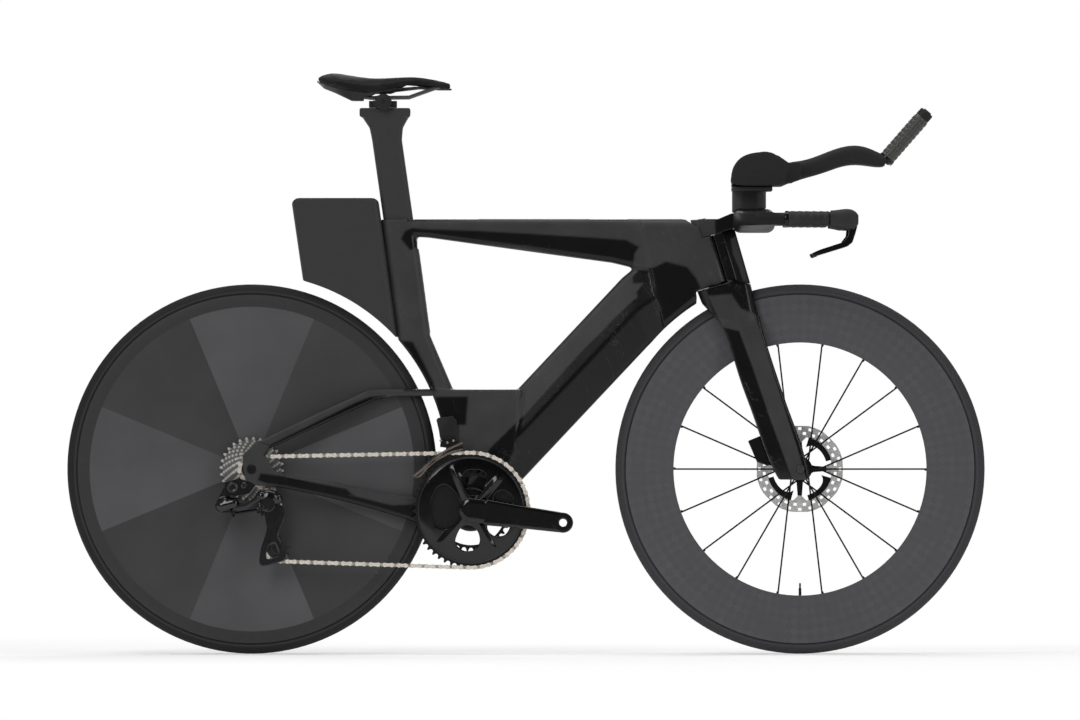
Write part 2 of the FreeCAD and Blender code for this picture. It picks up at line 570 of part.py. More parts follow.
def rotor(centre, side, arms):
    """Braking track with round holes, and arms to the hub if asked for."""
    half = mm("rotor_thickness") / 2
    outer, track = mm("rotor_radius"), mm("rotor_track")
    shape = across_ring(outer, outer - track, centre, side - half, side + half)
    holes = []
    for i in range(count("rotor_holes")):
        for share, turn_share in ROTOR_HOLE_SHARES:
            out = direction((i + turn_share) * 360 / count("rotor_holes"))
            spot = centre + out * (outer - share * track)
            holes.append(across_cylinder(mm("rotor_hole_radius"), spot, side - track, side + track))
    shape = shape.cut(holes)
    return shape.fuse(rotor_carrier(centre, side)) if arms else shape


def rotor_carrier(centre, side):
    """Spider between the hub and the braking track, with its lockring boss."""
    half = mm("rotor_thickness") / 2
    reach = mm("rotor_radius") - mm("rotor_track")
    arm = mm("rotor_arm_width")
    pieces = [across_cylinder(mm("carrier_radius"), centre, side - half, side + half)]
    for i in range(count("rotor_arms")):
        out = direction((i + 0.5) * 360 / count("rotor_arms"))
        sweep = direction((i + 0.5) * 360 / count("rotor_arms") + 90) * arm
        root = centre + out * (mm("carrier_radius") - arm)
        tip = centre + out * reach + sweep
        flat = Vector(0, side - half, 0)
        edge = sweep * 0.5
        points = [root - edge + flat, tip - edge + flat, tip + edge + flat, root + edge + flat]
        pieces.append(Part.Face(Part.makePolygon(points + points[:1])).extrude(ACROSS * (2 * half)))
    shape = pieces[0].multiFuse(pieces[1:])
    shape = shape.common(across_cylinder(reach, centre, side - half, side + half))
    return shape.cut(across_cylinder(mm("rotor_mount_radius"), centre, side - arm, side + arm))


def rim_profile(inner, tip_width):
    """Closed half profile of a deep rim, as expressions of radius and distance across."""
    bulge = f"rim_radius - (rim_radius - {inner}) * rim_bulge_share"
    right = [(inner, f"-{tip_width} / 2"), (bulge, "-rim_bulge_width / 2"),
             ("rim_radius", "-rim_width / 2"), ("rim_radius", "-rim_bed_width / 2"),
             ("rim_bed_radius", "-rim_bed_width / 2")]
    left = [(radius, across[1:]) for radius, across in reversed(right)]
    return [(owned(radius), owned(across)) for radius, across in right + left]


def owned(text):
    """Expression in aliases, as another object writes it: with the sheet's name before each."""
    return re.sub("[a-z_]+", r"Sheet.\g<0>", text)


def hub_profile(steps):
    """Closed profile of a hub: the axle bore, then steps of (radius, distance) along Y."""
    first, last = steps[0][1], steps[-1][1]
    outline = [("axle_bore_radius", first)] + list(steps) + [("axle_bore_radius", last)]
    return [(owned(radius), owned(across)) for radius, across in outline]


def spokes(centre):
    """Groups of three blades: one from the right flange, two crossed from the left flange."""
    near_hub, rim = mm("flange_radius"), mm("front_rim_inner_radius") + mm("spoke_seat")
    groups = count("spoke_groups")
    left, right = mm("left_flange_side"), -mm("right_flange_side")
    solids = []
    for i in range(groups):
        middle = i * 360 / groups
        for turn, hub_turn, side in ((0, 0, right), (1, -1, left - mm("spoke_pass") / 2),
                                     (-1, 1, left + mm("spoke_pass") / 2)):
            start = direction(middle + hub_turn * mm("spoke_hub_spread")) * (near_hub - mm("spoke_seat"))
            end = direction(middle + turn * mm("spoke_spread")) * rim
            solids.append(blade(centre + start + ACROSS * side, centre + end + ACROSS * (side / rim)))
    return Part.makeCompound(solids)


def blade(start, end):
    """Flat spoke between two points, with its width in the wheel's plane."""
    along = end - start
    flat = along.cross(ACROSS).normalize() * (mm("spoke_width") / 2)
    thick = along.cross(flat).normalize() * (mm("spoke_thickness") / 2)
    points = [start - flat - thick, start + flat - thick, start + flat + thick, start - flat + thick]
    return Part.Face(Part.makePolygon(points + points[:1])).extrude(along)


def add_rear_wheel():
    """Tyre, rim, both disc skins, hub and rotor."""
    centre = rear_axle()
    add("rear_tyre", tyre(), centre)
    add_turned("rear_rim", rim_profile("rear_rim_inner_radius", "rim_bulge_width"), centre)
    skins = []
    for sign, side in ((-1, "disc_right_side"), (1, "disc_left_side")):
        hub, rim = mm("disc_hub_radius"), mm("rear_rim_inner_radius")
        high, low, skin = mm(side), mm("rim_bulge_width") / 2, mm("disc_skin")
        points = [Vector(hub, sign * high, 0), Vector(rim, sign * low, 0),
                  Vector(rim, sign * (low - skin), 0), Vector(hub, sign * (high - skin), 0)]
        skins.append(Part.Face(Part.makePolygon(points + points[:1])).revolve(ORIGIN, ACROSS, 360))
    add("disc_skins", Part.makeCompound(skins), centre)
    barrel, flange, cap = "rear_barrel_radius", "disc_hub_radius", "rear_cap_radius"
    right, right_back = "-disc_right_side - running_gap", "-disc_right_side + flange_thickness"
    left, left_back = "disc_left_side", "disc_left_side - flange_thickness"
    mount, shoulder = "rotor_mount_radius", "rear_rotor_side + rotor_thickness"
    steps = ((barrel, right), (flange, right), (flange, right_back), (barrel, right_back),
             (barrel, left_back), (flange, left_back), (flange, left), (mount, left),
             (mount, shoulder), (cap, shoulder), (cap, "rear_locknut_width / 2 - running_gap"))
    add_turned("rear_hub_shell", hub_profile(steps), centre)
    add("rear_rotor", rotor(centre, mm("rear_rotor_side"), True))


def add_front_wheel():
    """Tyre, deep rim, spokes, hub, rotor and its carrier."""
    centre = front_axle()
    add("front_tyre", tyre(), centre)
    add_turned("front_rim", rim_profile("front_rim_inner_radius", "front_rim_tip_width"), centre)
    add("front_spokes", spokes(centre))
    cap, barrel, flange = "front_cap_radius", "front_barrel_radius", "flange_radius"
    end, right, left = "front_locknut_width / 2 - running_gap", "-right_flange_side", "left_flange_side"
    mount, shoulder = "rotor_mount_radius", "front_rotor_side + rotor_thickness"
    steps = ((cap, "-front_locknut_width / 2 + running_gap"), (cap, f"{right} - flange_thickness"),
             (flange, f"{right} - flange_thickness"), (flange, f"{right} + flange_thickness"),
             (barrel, f"{right} + 2 * flange_thickness"), (barrel, f"{left} - 2 * flange_thickness"),
             (flange, f"{left} - flange_thickness"), (flange, f"{left} + flange_thickness"),
             (mount, f"{left} + flange_thickness"), (mount, shoulder), (cap, shoulder), (cap, end))
    add_turned("front_hub_shell", hub_profile(steps), centre)
    add("front_rotor", rotor(centre, mm("front_rotor_side"), False))
    add("front_rotor_carrier", rotor_carrier(centre, mm("front_rotor_side")))


def chain_route(cage_angle):
    """Closed chain route as a list of runs, for a cage at an angle.

    Each run is (length in pitches, start, end, turn, centre, radius, teeth): a straight run has turn 0.
    """
    guide = photo(GUIDE_PIXEL)
    reach = (photo(TENSION_PIXEL) - guide).Length
    teeth = count("pulley_teeth")
    wheels = [(rear_axle(), SPROCKET_TEETH[0], 1), (bottom_bracket(), count("outer_teeth"), 1),
              (guide + direction(cage_angle) * reach, teeth, 1), (guide, teeth, -1)]
    tangents = []
    for i, (centre, number, turn) in enumerate(wheels):
        after, next_number, next_turn = wheels[(i + 1) % len(wheels)]
        gap = after - centre
        angle = math.degrees(math.atan2(gap.z, gap.x))
        step = pitch_radius(next_number) * next_turn - pitch_radius(number) * turn
        angle += math.degrees(math.asin(step / gap.Length))
        normal = direction(angle + 90)
        tangents.append((centre + normal * (pitch_radius(number) * turn),
                         after + normal * (pitch_radius(next_number) * next_turn)))
    runs = []
    for i, (start, end) in enumerate(tangents):
        runs.append(((end - start).Length / mm("chain_pitch"), start, end, 0, None, 0, 0))
        centre, number, turn = wheels[(i + 1) % len(wheels)]
        leave = tangents[(i + 1) % len(tangents)][0]
        first, last = end - centre, leave - centre
        wrap = math.degrees(math.atan2(first.z, first.x) - math.atan2(last.z, last.x)) * turn % 360
        runs.append((wrap * number / 360, end, leave, turn, centre, pitch_radius(number), number))
    return runs


def solve_cage():
    """Cage angle near the photographed one at which the chain has a whole, even number of links."""
    hang = photo(TENSION_PIXEL) - photo(GUIDE_PIXEL)
    seen = math.degrees(math.atan2(hang.z, hang.x))

    def excess(angle):
        return sum(run[0] for run in chain_route(angle))

    links = 2 * round(excess(seen) / 2)
    low, high = seen - mm("cage_swing"), seen + mm("cage_swing")
    for _ in range(count("solver_steps")):
        middle = (low + high) / 2
        if (excess(middle) - links) * (excess(low) - links) > 0:
            low = middle
        else:
            high = middle
    return (low + high) / 2, links


def chain_pins(cage_angle, links):
    """Pin centres along the route, shifted across between the ring and the sprockets.

    Near both ends of a shifted run the chain holds its line, because it is still beside the teeth.
    """
    runs = chain_route(cage_angle)
    ring_side, rear_side = -mm("outer_ring_side"), -mm("sprocket_first_side")
    sides = [(rear_side, ring_side), (ring_side, ring_side), (ring_side, rear_side)]
    sides += [(rear_side, rear_side)] * (len(runs) - len(sides))
    pins = []
    for i in range(links):
        place = i
        for run, (near, far) in zip(runs, sides):
            if place <= run[0] or run is runs[-1]:
                break
            place -= run[0]
        length, start, end, turn, centre, radius, number = run
        share = place / length
        if turn:
            first = start - centre
            angle = math.degrees(math.atan2(first.z, first.x)) - turn * place * 360 / number
            spot = centre + direction(angle) * radius
        else:
            spot = start + (end - start) * share
            hold = mm("chain_hold") / (length * mm("chain_pitch")) if near != far else 0
            share = min(max((share - hold) / (1 - 2 * hold), 0), 1)
        pins.append(Vector(spot.x, near + (far - near) * share, spot.z))
    return pins


def pin_phase(pins, centre):
    """Angle of the pin that sits closest to a wheel, for its tooth seats."""
    spot = min(pins, key=lambda pin: math.hypot(pin.x - centre.x, pin.z - centre.z))
    return math.degrees(math.atan2(spot.z - centre.z, spot.x - centre.x))


def link_plate(near, far, bore):
    """One plate of a link, along X from pin to pin."""
    pitch, radius = mm("chain_pitch"), mm("plate_radius")
    ends = [across_cylinder(radius, FORWARD * place, near, far) for place in (0, pitch)]
    waist = radius * mm("plate_waist_share")
    bar = Part.makeBox(pitch, far - near, 2 * waist, Vector(0, near, -waist))
    plate = bar.multiFuse(ends)
    bores = [across_cylinder(bore, FORWARD * place, near - pitch, far + pitch) for place in (0, pitch)]
    return plate.cut(bores)


def chain(pins):
    """Roller chain: inner and outer links in turn, each one solid."""
    pitch, pin = mm("chain_pitch"), mm("pin_radius")
    inner, plate = mm("inner_half_width"), mm("inner_plate")
    outer = inner + plate + mm("plate_gap")
    edge = outer + mm("outer_plate")
    bore = pin + 2 * mm("plate_gap")
    places = [FORWARD * place for place in (0, pitch)]
    rollers = [across_ring(mm("roller_radius"), bore, place, -inner, inner) for place in places]
    inner_link = link_plate(inner, inner + plate, bore)
    inner_link = inner_link.multiFuse([mirrored(inner_link)] + rollers)
    outer_link = link_plate(outer, edge, pin)
    pieces = [mirrored(outer_link)] + [across_cylinder(pin, place, -edge, edge) for place in places]
    outer_link = outer_link.multiFuse(pieces)
    links = []
    for i, start in enumerate(pins):
        along = (pins[(i + 1) % len(pins)] - start).normalize()
        side = (ACROSS - along * along.dot(ACROSS)).normalize()
        turn = FreeCAD.Rotation(along, side, along.cross(side), "XYZ")
        link = (inner_link, outer_link)[i % 2].copy()
        link.Placement = FreeCAD.Placement(start, turn)
        links.append(link)
    return Part.makeCompound(links)


def chainring(teeth, side, band, bolts, phase):
    """Ring with a toothed edge, a thicker band and tabs to the bolts."""
    centre = bottom_bracket()
    thin, thick = mm("tooth_thickness") / 2, mm("ring_plate") / 2
    shape = toothed_disc(teeth, centre, side - thin, side + thin, phase)
    hollow = pitch_radius(teeth) - band
    rim = pitch_radius(teeth) - mm("plate_radius") - mm("running_gap")
    shape = shape.cut(across_cylinder(hollow, centre, side - band, side + band))
    pieces = [across_ring(rim, hollow, centre, side - thick, side + thick)]
    half = mm("ring_tab_width") / 2
    for angle in bolts:
        out, flat = direction(angle), direction(angle + 90) * half
        start = centre + out * mm("bolt_circle_radius") + ACROSS * (side - thick)
        end = centre + out * (hollow + band * mm("ring_tab_share")) + ACROSS * (side - thick)
        points = [start - flat, end - flat, end + flat, start + flat]
        pieces.append(Part.Face(Part.makePolygon(points + points[:1])).extrude(ACROSS * (2 * thick)))
        pieces.append(across_cylinder(half, start, side - thick, side + thick))
    shape = shape.multiFuse(pieces)
    spots = [centre + direction(angle) * mm("bolt_circle_radius") for angle in bolts]
    bores = [across_cylinder(mm("ring_tab_end"), spot, side - band, side + band) for spot in spots]
    return shape.cut(bores) if side < -mm("inner_ring_side") else shape


def bolt_angles():
    """Directions of the spider's arms, from the arm's own direction."""
    front, rear = mm("spider_front"), mm("spider_rear")
    return [mm("crank_angle") + turn for turn in (front, -front, rear, -rear)]


def crank_arm(centre, angle, sign):
    """Arm from the spindle to the pedal thread, on the side of the sign."""
    out, flat = direction(angle), direction(angle + 90)
    stations = (("arm_root_width", "arm_root_side", "arm_root_thickness"),
                ("arm_mid_width", "arm_mid_side", "arm_root_thickness"),
                ("arm_tip_width", "arm_tip_side", "arm_tip_thickness"))
    stations = [(share, *names) for share, names in zip(ARM_PLACE_SHARES, stations)]
    wires = []
    for share, width, side, thickness in stations:
        middle = centre + out * (share * mm("crank_length"))
        edge = flat * (mm(width) / 2)
        wires.append(section(middle - edge, middle + edge, mm(thickness), sign * mm(side), round_share=0.3))
    arm = Part.makeLoft(wires, True, True)
    ends = []
    for share, width, side, thickness in (stations[0], stations[-1]):
        middle, half = centre + out * (share * mm("crank_length")), mm(thickness) / 2
        near, far = sign * mm(side) - half, sign * mm(side) + half
        ends.append(across_cylinder(mm(width) / 2, middle, near, far))
    return arm.multiFuse(ends)


def crank_right():
    """Right arm with the spider that carries both rings."""
    centre = bottom_bracket()
    seat = mm("outer_ring_side") + mm("ring_plate") / 2
    arm = crank_arm(centre, mm("crank_angle"), -1)
    pieces = [across_cylinder(mm("arm_root_width") / 2, centre, -mm("arm_root_side"), -seat)]
    for angle in bolt_angles():
        out, flat = direction(angle), direction(angle + 90)
        root, tip = mm("spider_root_width") / 2, mm("spider_tip_width") / 2
        end = centre + out * mm("spider_reach")
        drop = ACROSS * -seat
        points = [centre - flat * root + drop, end - flat * tip + drop, end + flat * tip + drop,
                  centre + flat * root + drop]
        face = Part.Face(Part.makePolygon(points + points[:1]))
        pieces.append(face.extrude(ACROSS * -mm("spider_thickness")))
        spot = centre + out * mm("bolt_circle_radius")
        boss = mm("inner_ring_side") + mm("ring_plate") / 2
        pieces.append(across_cylinder(mm("ring_tab_end") - mm("fit_gap"), spot, -seat, -boss))
    return bored_crank(arm.multiFuse(pieces), mm("crank_angle"))


def bored_crank(arm, angle):
    """Arm with its spindle and pedal bores."""
    wide = mm("wing_width")
    pedal = bottom_bracket() + direction(angle) * mm("crank_length")
    return arm.cut([across_cylinder(mm("spindle_radius"), bottom_bracket(), -wide, wide),
                    across_cylinder(mm("pedal_bore_radius"), pedal, -wide, wide)])


def add_drivetrain():
    """Crankset, rings, cassette, pulleys' chain and the freehub."""
    cage_angle, links = solve_cage()
    pins = chain_pins(cage_angle, links)
    add("chain", chain(pins))
    centre = bottom_bracket()
    angles = bolt_angles()
    outer, inner = count("outer_teeth"), count("inner_teeth")
    phase = pin_phase(pins, centre)
    add("chainring_outer", chainring(outer, -mm("outer_ring_side"), mm("ring_band"), angles, phase))
    add("chainring_inner", chainring(inner, -mm("inner_ring_side"), mm("inner_ring_band"), angles, 0))
    add("crank_arm_right", crank_right())
    angle = mm("crank_angle") + 180
    add("crank_arm_left", bored_crank(crank_arm(centre, angle, 1), angle))
    add_axle("crank_spindle", "spindle_radius", owned("spindle_half"), centre)
    phase = pin_phase(pins, rear_axle())
    sprockets = []
    half = mm("tooth_thickness") / 2
    for i, teeth in enumerate(SPROCKET_TEETH):
        side = -mm("sprocket_first_side") + i * mm("sprocket_pitch")
        disc = toothed_disc(teeth, rear_axle(), side - half, side + half, phase)
        bore = across_cylinder(mm("freehub_radius"), rear_axle(), 2 * side, 0)
        sprockets.append(disc.cut(bore))
    add("cassette_sprockets", Part.makeCompound(sprockets))
    body, cap = "freehub_radius - fit_gap", "rear_cap_radius"
    shoulder = "-sprocket_first_side - sprocket_pitch"
    steps = ((cap, "-rear_locknut_width / 2 + running_gap"), (cap, shoulder), (body, shoulder),
             (body, "-disc_right_side - 2 * running_gap"))
    add_turned("freehub_body", hub_profile(steps), rear_axle())
    return cage_angle, pins


def link_axes():
    """Frame of the rear derailleur's links: forward, inward and down, and the pivots' direction."""
    tilt = math.radians(mm("link_tilt"))
    pivot = Vector(0, math.sin(tilt), math.cos(tilt))
    return FORWARD, pivot.cross(FORWARD), pivot


def link_pins():
    """Outer link's pins on the knuckle and on the bracket, with the link at rest leaning outwards."""
    ahead, inward, _ = link_axes()
    lean = math.radians(mm("link_lean"))
    guide = photo(GUIDE_PIXEL)
    front = Vector(guide.x - mm("link_pin_back"), -mm("link_pin_side"), guide.z)
    along = ahead * math.cos(lean) - inward * math.sin(lean)
    return front, front - along * mm("link_length"), along


def local_box(base, axes, low, high):
    """Box between two corners of a local frame."""
    size = high - low
    box = Part.makeBox(size.x, size.y, size.z, low)
    box.Placement = FreeCAD.Placement(base, FreeCAD.Rotation(*axes, "XYZ"))
    return box


def link_lugs(base, back, front):
    """Two lugs that hold both links' pins, above and below, joined behind or ahead of them."""
    axes = link_axes()
    half = mm("link_height") / 2 + mm("running_gap")
    tall, edge, spread = half + mm("link_thickness"), mm("lug_edge"), mm("link_spread")
    start, end = min(back, -edge), max(front, edge)
    pieces = [local_box(base, axes, Vector(start, -edge, low), Vector(end, spread + edge, high))
              for low, high in ((half, tall), (-tall, -half))]
    start, end = (back, -mm("lug_clear")) if back < -edge else (mm("lug_clear"), front)
    pieces.append(local_box(base, axes, Vector(start, -edge, -tall), Vector(end, spread + edge, tall)))
    lugs = pieces[0].multiFuse(pieces[1:])
    bore, pivot = mm("link_pin_radius") + mm("fit_gap"), axes[2]
    spots = [base + axes[1] * place - pivot * (2 * tall) for place in (0, spread)]
    bores = [cylinder(bore, spot, pivot, 4 * tall) for spot in spots]
    return lugs, bores


def rear_mech_link(base, along):
    """One flat link with a pin at both ends."""
    pivot = link_axes()[2]
    axes = (along, pivot.cross(along), pivot)
    high, half = mm("link_height") / 2, mm("link_thickness") / 2
    length = mm("link_length")
    bar = local_box(base, axes, Vector(0, -half, -high), Vector(length, half, high))
    ends = []
    pin_half = high + mm("running_gap") + mm("link_thickness")
    for place in (base, base + along * length):
        ends.append(cylinder(2 * half, place - pivot * high, pivot, 2 * high))
        ends.append(cylinder(mm("link_pin_radius"), place - pivot * pin_half, pivot, 2 * pin_half))
    return bar.multiFuse(ends)


def capsule(start, end, radius, near, far):
    """Plate with round ends between two centres of the side view."""
    along = (end - start).normalize()
    flat = along.cross(ACROSS) * radius
    points = [start - flat, end - flat, end + flat, start + flat]
    points = [Vector(point.x, near, point.z) for point in points]
    plate = Part.Face(Part.makePolygon(points + points[:1])).extrude(ACROSS * (far - near))
    return plate.multiFuse([across_cylinder(radius, centre, near, far) for centre in (start, end)])


def mech_bracket(back):
    """Bracket with the motor, bolted under the hanger."""
    lugs, bores = link_lugs(back, -mm("motor_length"), 0)
    hanger = mm("dropout_side") + mm("dropout_thickness") / 2
    fit, bolt_radius = mm("fit_gap"), mm("pulley_pin_radius")
    seat = hanger - mm("hanger_thickness") - fit
    plate = prism(BRACKET_PLATE_PIXELS, -seat, -seat + mm("bracket_plate"))
    bolt = photo(HANGER_BOLT_PIXEL)
    shank = across_cylinder(bolt_radius - fit, bolt, -hanger - fit, -seat)
    cap = across_cylinder(2 * bolt_radius, bolt, -hanger - mm("axle_head_length"), -hanger - fit)
    return lugs.multiFuse([plate, shank, cap]).cut(bores)


def mech_knuckle(front, guide, boss_end):
    """Knuckle on the links' front pins, with the bore of the cage's boss."""
    lugs, bores = link_lugs(front, 0, mm("link_pin_back"))
    near, far = -mm("knuckle_outer_side"), -mm("knuckle_inner_side")
    barrel = across_cylinder(mm("knuckle_radius"), guide, near, far)
    edge, half = mm("lug_edge"), mm("link_height") / 2 + mm("running_gap")
    low = Vector(-mm("link_length"), -edge, -half)
    room = local_box(front, link_axes(), low, Vector(mm("lug_clear"), mm("link_spread") + edge, half))
    bores.append(across_cylinder(mm("cage_boss_radius") + mm("fit_gap"), guide, boss_end, 0))
    bores.append(across_cylinder(mm("wing_width"), guide, far, 0))
    return largest(barrel.fuse(lugs).cut(bores + [room]))


def add_rear_mech(cage_angle, pins):
    """Rear derailleur: bracket, both links, knuckle, cage and pulleys."""
    inward = link_axes()[1]
    front, back, along = link_pins()
    guide = photo(GUIDE_PIXEL)
    tension = guide + direction(cage_angle) * (photo(TENSION_PIXEL) - guide).Length
    add("mech_bracket", mech_bracket(back))
    add("mech_outer_link", rear_mech_link(back, along))
    add("mech_inner_link", rear_mech_link(back + inward * mm("link_spread"), along))
    inner, plate, gap = mm("cage_inner_side"), mm("cage_plate"), mm("running_gap")
    flat, boss_end = mm("cage_outer_side") + plate, -mm("knuckle_outer_side") + plate
    add("mech_knuckle", mech_knuckle(front, guide, boss_end))
    radius, pin = mm("cage_width") / 2, mm("pulley_pin_radius")
    pieces = [capsule(guide, tension, radius, near, near + plate) for near in (-inner, -flat)]
    pieces += [across_cylinder(pin, centre, -flat, -inner + plate) for centre in (guide, tension)]
    pieces.append(across_cylinder(mm("cage_boss_radius"), guide, boss_end + gap, -flat))
    add("mech_cage", pieces[0].multiFuse(pieces[1:]))
    half, side, teeth = mm("pulley_thickness") / 2, -mm("sprocket_first_side"), count("pulley_teeth")
    for label, centre in (("guide_pulley", guide), ("tension_pulley", tension)):
        phase = pin_phase(pins, centre)
        disc = toothed_disc(teeth, centre, side - half, side + half, phase, "pulley_roller_gap")
        hub = across_cylinder(2 * pin, centre, -flat + plate + gap, -inner - gap)
        add(label, disc.fuse(hub).cut(across_cylinder(pin + mm("fit_gap"), centre, -mm("wing_width"), 0)))


def add_front_mech(frame):
    """Front derailleur: motor body on the frame and the cage on two guide rods."""
    inner, outer = mm("front_mech_inner_side"), mm("front_mech_outer_side")
    body = largest(prism(FRONT_MECH_PIXELS, -outer, -inner, mm("front_mech_corner")).cut(frame))
    rods = [photo(pixel) for pixel in FRONT_ROD_PIXELS]
    rod = mm("front_rod_radius")
    bores = [across_cylinder(rod + mm("fit_gap"), spot, -outer, 0) for spot in rods]
    add("front_derailleur_body", body.cut(bores))
    centre = bottom_bracket()
    near, far, plate = mm("front_cage_inner_side"), mm("front_cage_outer_side"), mm("front_cage_plate")
    low, high, guard = (mm(f"front_cage_{name}_radius") for name in ("inner", "outer", "guard"))
    start, end = mm("front_cage_start"), mm("front_cage_end")
    pieces = [sector(centre, low, high, start, end, -near - plate, -near),
              sector(centre, guard, high, start, end, -far, -far + plate),
              sector(centre, high - plate, high, start, start + mm("front_cage_head"), -far, -near),
              sector(centre, high - plate, high, end - mm("front_cage_tail"), end, -far, -near)]
    pieces.append(prism(FRONT_ARM_PIXELS, -near - plate, -near))
    pieces += [across_cylinder(rod, spot, -near, -outer + mm("front_rod_grip")) for spot in rods]
    add("front_derailleur_cage", pieces[0].multiFuse(pieces[1:]))


def sector(centre, inner, outer, start, end, near, far):
    """Part of a flat ring between two angles."""
    middle = (start + end) / 2
    base = Vector(centre.x, near, centre.z)
    spots = {(radius, angle): base + direction(angle) * radius for radius in (inner, outer)
             for angle in (start, middle, end)}
    edges = [Part.Arc(spots[outer, start], spots[outer, middle], spots[outer, end]),
             Part.LineSegment(spots[outer, end], spots[inner, end]),
             Part.Arc(spots[inner, end], spots[inner, middle], spots[inner, start]),
             Part.LineSegment(spots[inner, start], spots[outer, start])]
    return Part.Face(Part.Wire([edge.toShape() for edge in edges])).extrude(ACROSS * (far - near))


def caliper(outline, centre, side, neighbours):
    """Brake caliper over the rotor's edge, flush against what carries it."""
    half, slot = mm("caliper_width") / 2, mm("caliper_slot") / 2
    shape = prism(outline, side - half, side + half, mm("caliper_corner"))
    room = across_cylinder(mm("rotor_radius") + mm("caliper_slot"), centre, side - slot, side + slot)
    return largest(shape.cut([room] + neighbours))


def brake_pads(centre, side, angle):
    """Both pads, in the caliper's slot on either side of the rotor."""
    out, flat = direction(angle), direction(angle + 90) * (mm("pad_width") / 2)
    low, high = centre + out * (mm("pad_reach") - mm("pad_height")), centre + out * mm("pad_reach")
    face = mm("caliper_slot") / 2
    pads = []
    for near in (side - face, side + face - mm("pad_thickness")):
        corners = (low - flat, high - flat, high + flat, low + flat)
        points = [Vector(point.x, near, point.z) for point in corners]
        pads.append(Part.Face(Part.makePolygon(points + points[:1])).extrude(ACROSS * mm("pad_thickness")))
    return Part.makeCompound(pads)


def add_brakes(stays, fork):
    """Calipers, pads and both thru axles."""
    add("rear_brake_caliper", caliper(CALIPER_REAR_PIXELS, rear_axle(), mm("rear_rotor_side"), stays))
    add("rear_brake_pads", brake_pads(rear_axle(), mm("rear_rotor_side"), mm("rear_pad_angle")))
    add("front_brake_caliper", caliper(CALIPER_FRONT_PIXELS, front_axle(), mm("front_rotor_side"), [fork]))
    add("front_brake_pads", brake_pads(front_axle(), mm("front_rotor_side"), mm("front_pad_angle")))
    add_axle("rear_thru_axle", "axle_radius", owned("dropout_side + dropout_thickness / 2"), rear_axle())
    add_axle("front_thru_axle", "axle_radius", owned("blade_tip_side + blade_tip_width / 2"), front_axle())


def wedge_section(rear, front, width, tip_width, radius):
    """Section that keeps its width to the middle and narrows to a tip in front."""
    side, tip = ACROSS * (width / 2), ACROSS * (tip_width / 2)
    middle = (rear + front) * 0.5
    points = [rear + side, middle + side, front + tip, front - tip, middle - side, rear - side]
    return rounded_wire(points, radius)


def fork_shape():
    """Crown, blades, nose in front of the head tube and steerer, as one moulded piece."""
    axis = steering_direction()
    crown = on_steering_axis(mm("crown_height"))
    half, wide, overrun = mm("crown_half_width"), mm("wing_width"), mm("overrun")
    rear = prism(CROWN_PIXELS, -half, half)
    rear = rear.common(cylinder(mm("crown_sweep_radius"), crown - axis * wide, axis, 2 * wide))
    top = tube(SHOULDER_PIXELS, [2 * half, 2 * half], round_share=0.3)
    sides = [mm(f"blade_{name}_side") for name in ("top", "head", "mid", "knee", "low", "tip", "tip")]
    widths = [mm("blade_width")] * (len(sides) - 2) + [mm("blade_tip_width")] * 2
    sides = [-side for side in sides]
    leg = tube(BLADE_PIXELS, widths, sides, smooth=True, waist_share=0.45, round_share=0.8)
    shape = rear.multiFuse([top, leg, mirrored(leg)])
    shape = shape.cut(cylinder(2 * half, crown, axis, mm("head_length")))
    width, tip_width, corner = mm("nose_width"), mm("nose_tip_width"), mm("nose_corner")
    edges = [(photo(back), photo(front)) for back, front in NOSE_PIXELS]
    wires = [wedge_section(*pair, width, tip_width, corner) for pair in edges]
    nose = Part.makeLoft(wires, True, True)
    plane = on_steering_axis(head_top() + mm("running_gap"))
    nose = nose.cut([cylinder(mm("nose_radius"), crown, axis, wide), cylinder(wide, plane, axis, wide)])
    shape = shape.fuse(nose)
    slot_half = mm("tyre_slot_half")
    slot = across_cylinder(mm("tyre_slot_radius"), front_axle(), -slot_half, slot_half)
    shape = shape.cut([slot, across_cylinder(mm("axle_bore_radius"), front_axle(), -wide, wide)])
    span = mm("head_length") + mm("stem_grip") + mm("running_gap")
    return shape.fuse(cylinder(mm("steerer_radius"), crown - axis * overrun, axis, span + overrun))


def stem_shape():
    """Stem: a round base about the steering axis and a block forward to the bar."""
    axis, wide = steering_direction(), mm("wing_width")
    plane = on_steering_axis(head_top() + mm("running_gap"))
    base = prism(STEM_PIXELS, -mm("stem_radius"), mm("stem_radius"))
    base = base.common(cylinder(mm("stem_radius"), plane - axis * wide, axis, 2 * wide))
    block = prism(STEM_BLOCK_PIXELS, -mm("stem_width") / 2, mm("stem_width") / 2)
    shape = base.fuse(block).cut(cylinder(wide, plane, -axis, wide))
    return largest(shape)


def bar_shape(neighbours):
    """Base bar: a wing across the bike and a round horn forward on both sides."""
    wires = []
    for sign, steps in ((-1, reversed(range(len(WING_PIXELS)))), (1, range(1, len(WING_PIXELS)))):
        for i in steps:
            rear, front, thickness = WING_PIXELS[i]
            side = sign * WING_SIDE_SHARES[i] * mm("wing_width") / 2
            rise = UP * (pixels(thickness) / 2)
            start, end = photo(rear, side), photo(front, side)
            points = [start - rise, end - rise, end + rise, start + rise]
            wires.append(rounded_wire(points, pixels(thickness) * WING_ROUND_SHARE))
    wing = Part.makeLoft(wires, True, False)
    horns = []
    for sign in (-1, 1):
        start, *_, end = [photo(pixel, sign * horn_side()) for pixel in HORN_PIXELS]
        horns.append(cylinder(mm("horn_radius"), start, FORWARD, end.x - start.x))
        horns.append(Part.makeSphere(mm("horn_radius"), start))
    return largest(wing.multiFuse(horns).cut(neighbours))


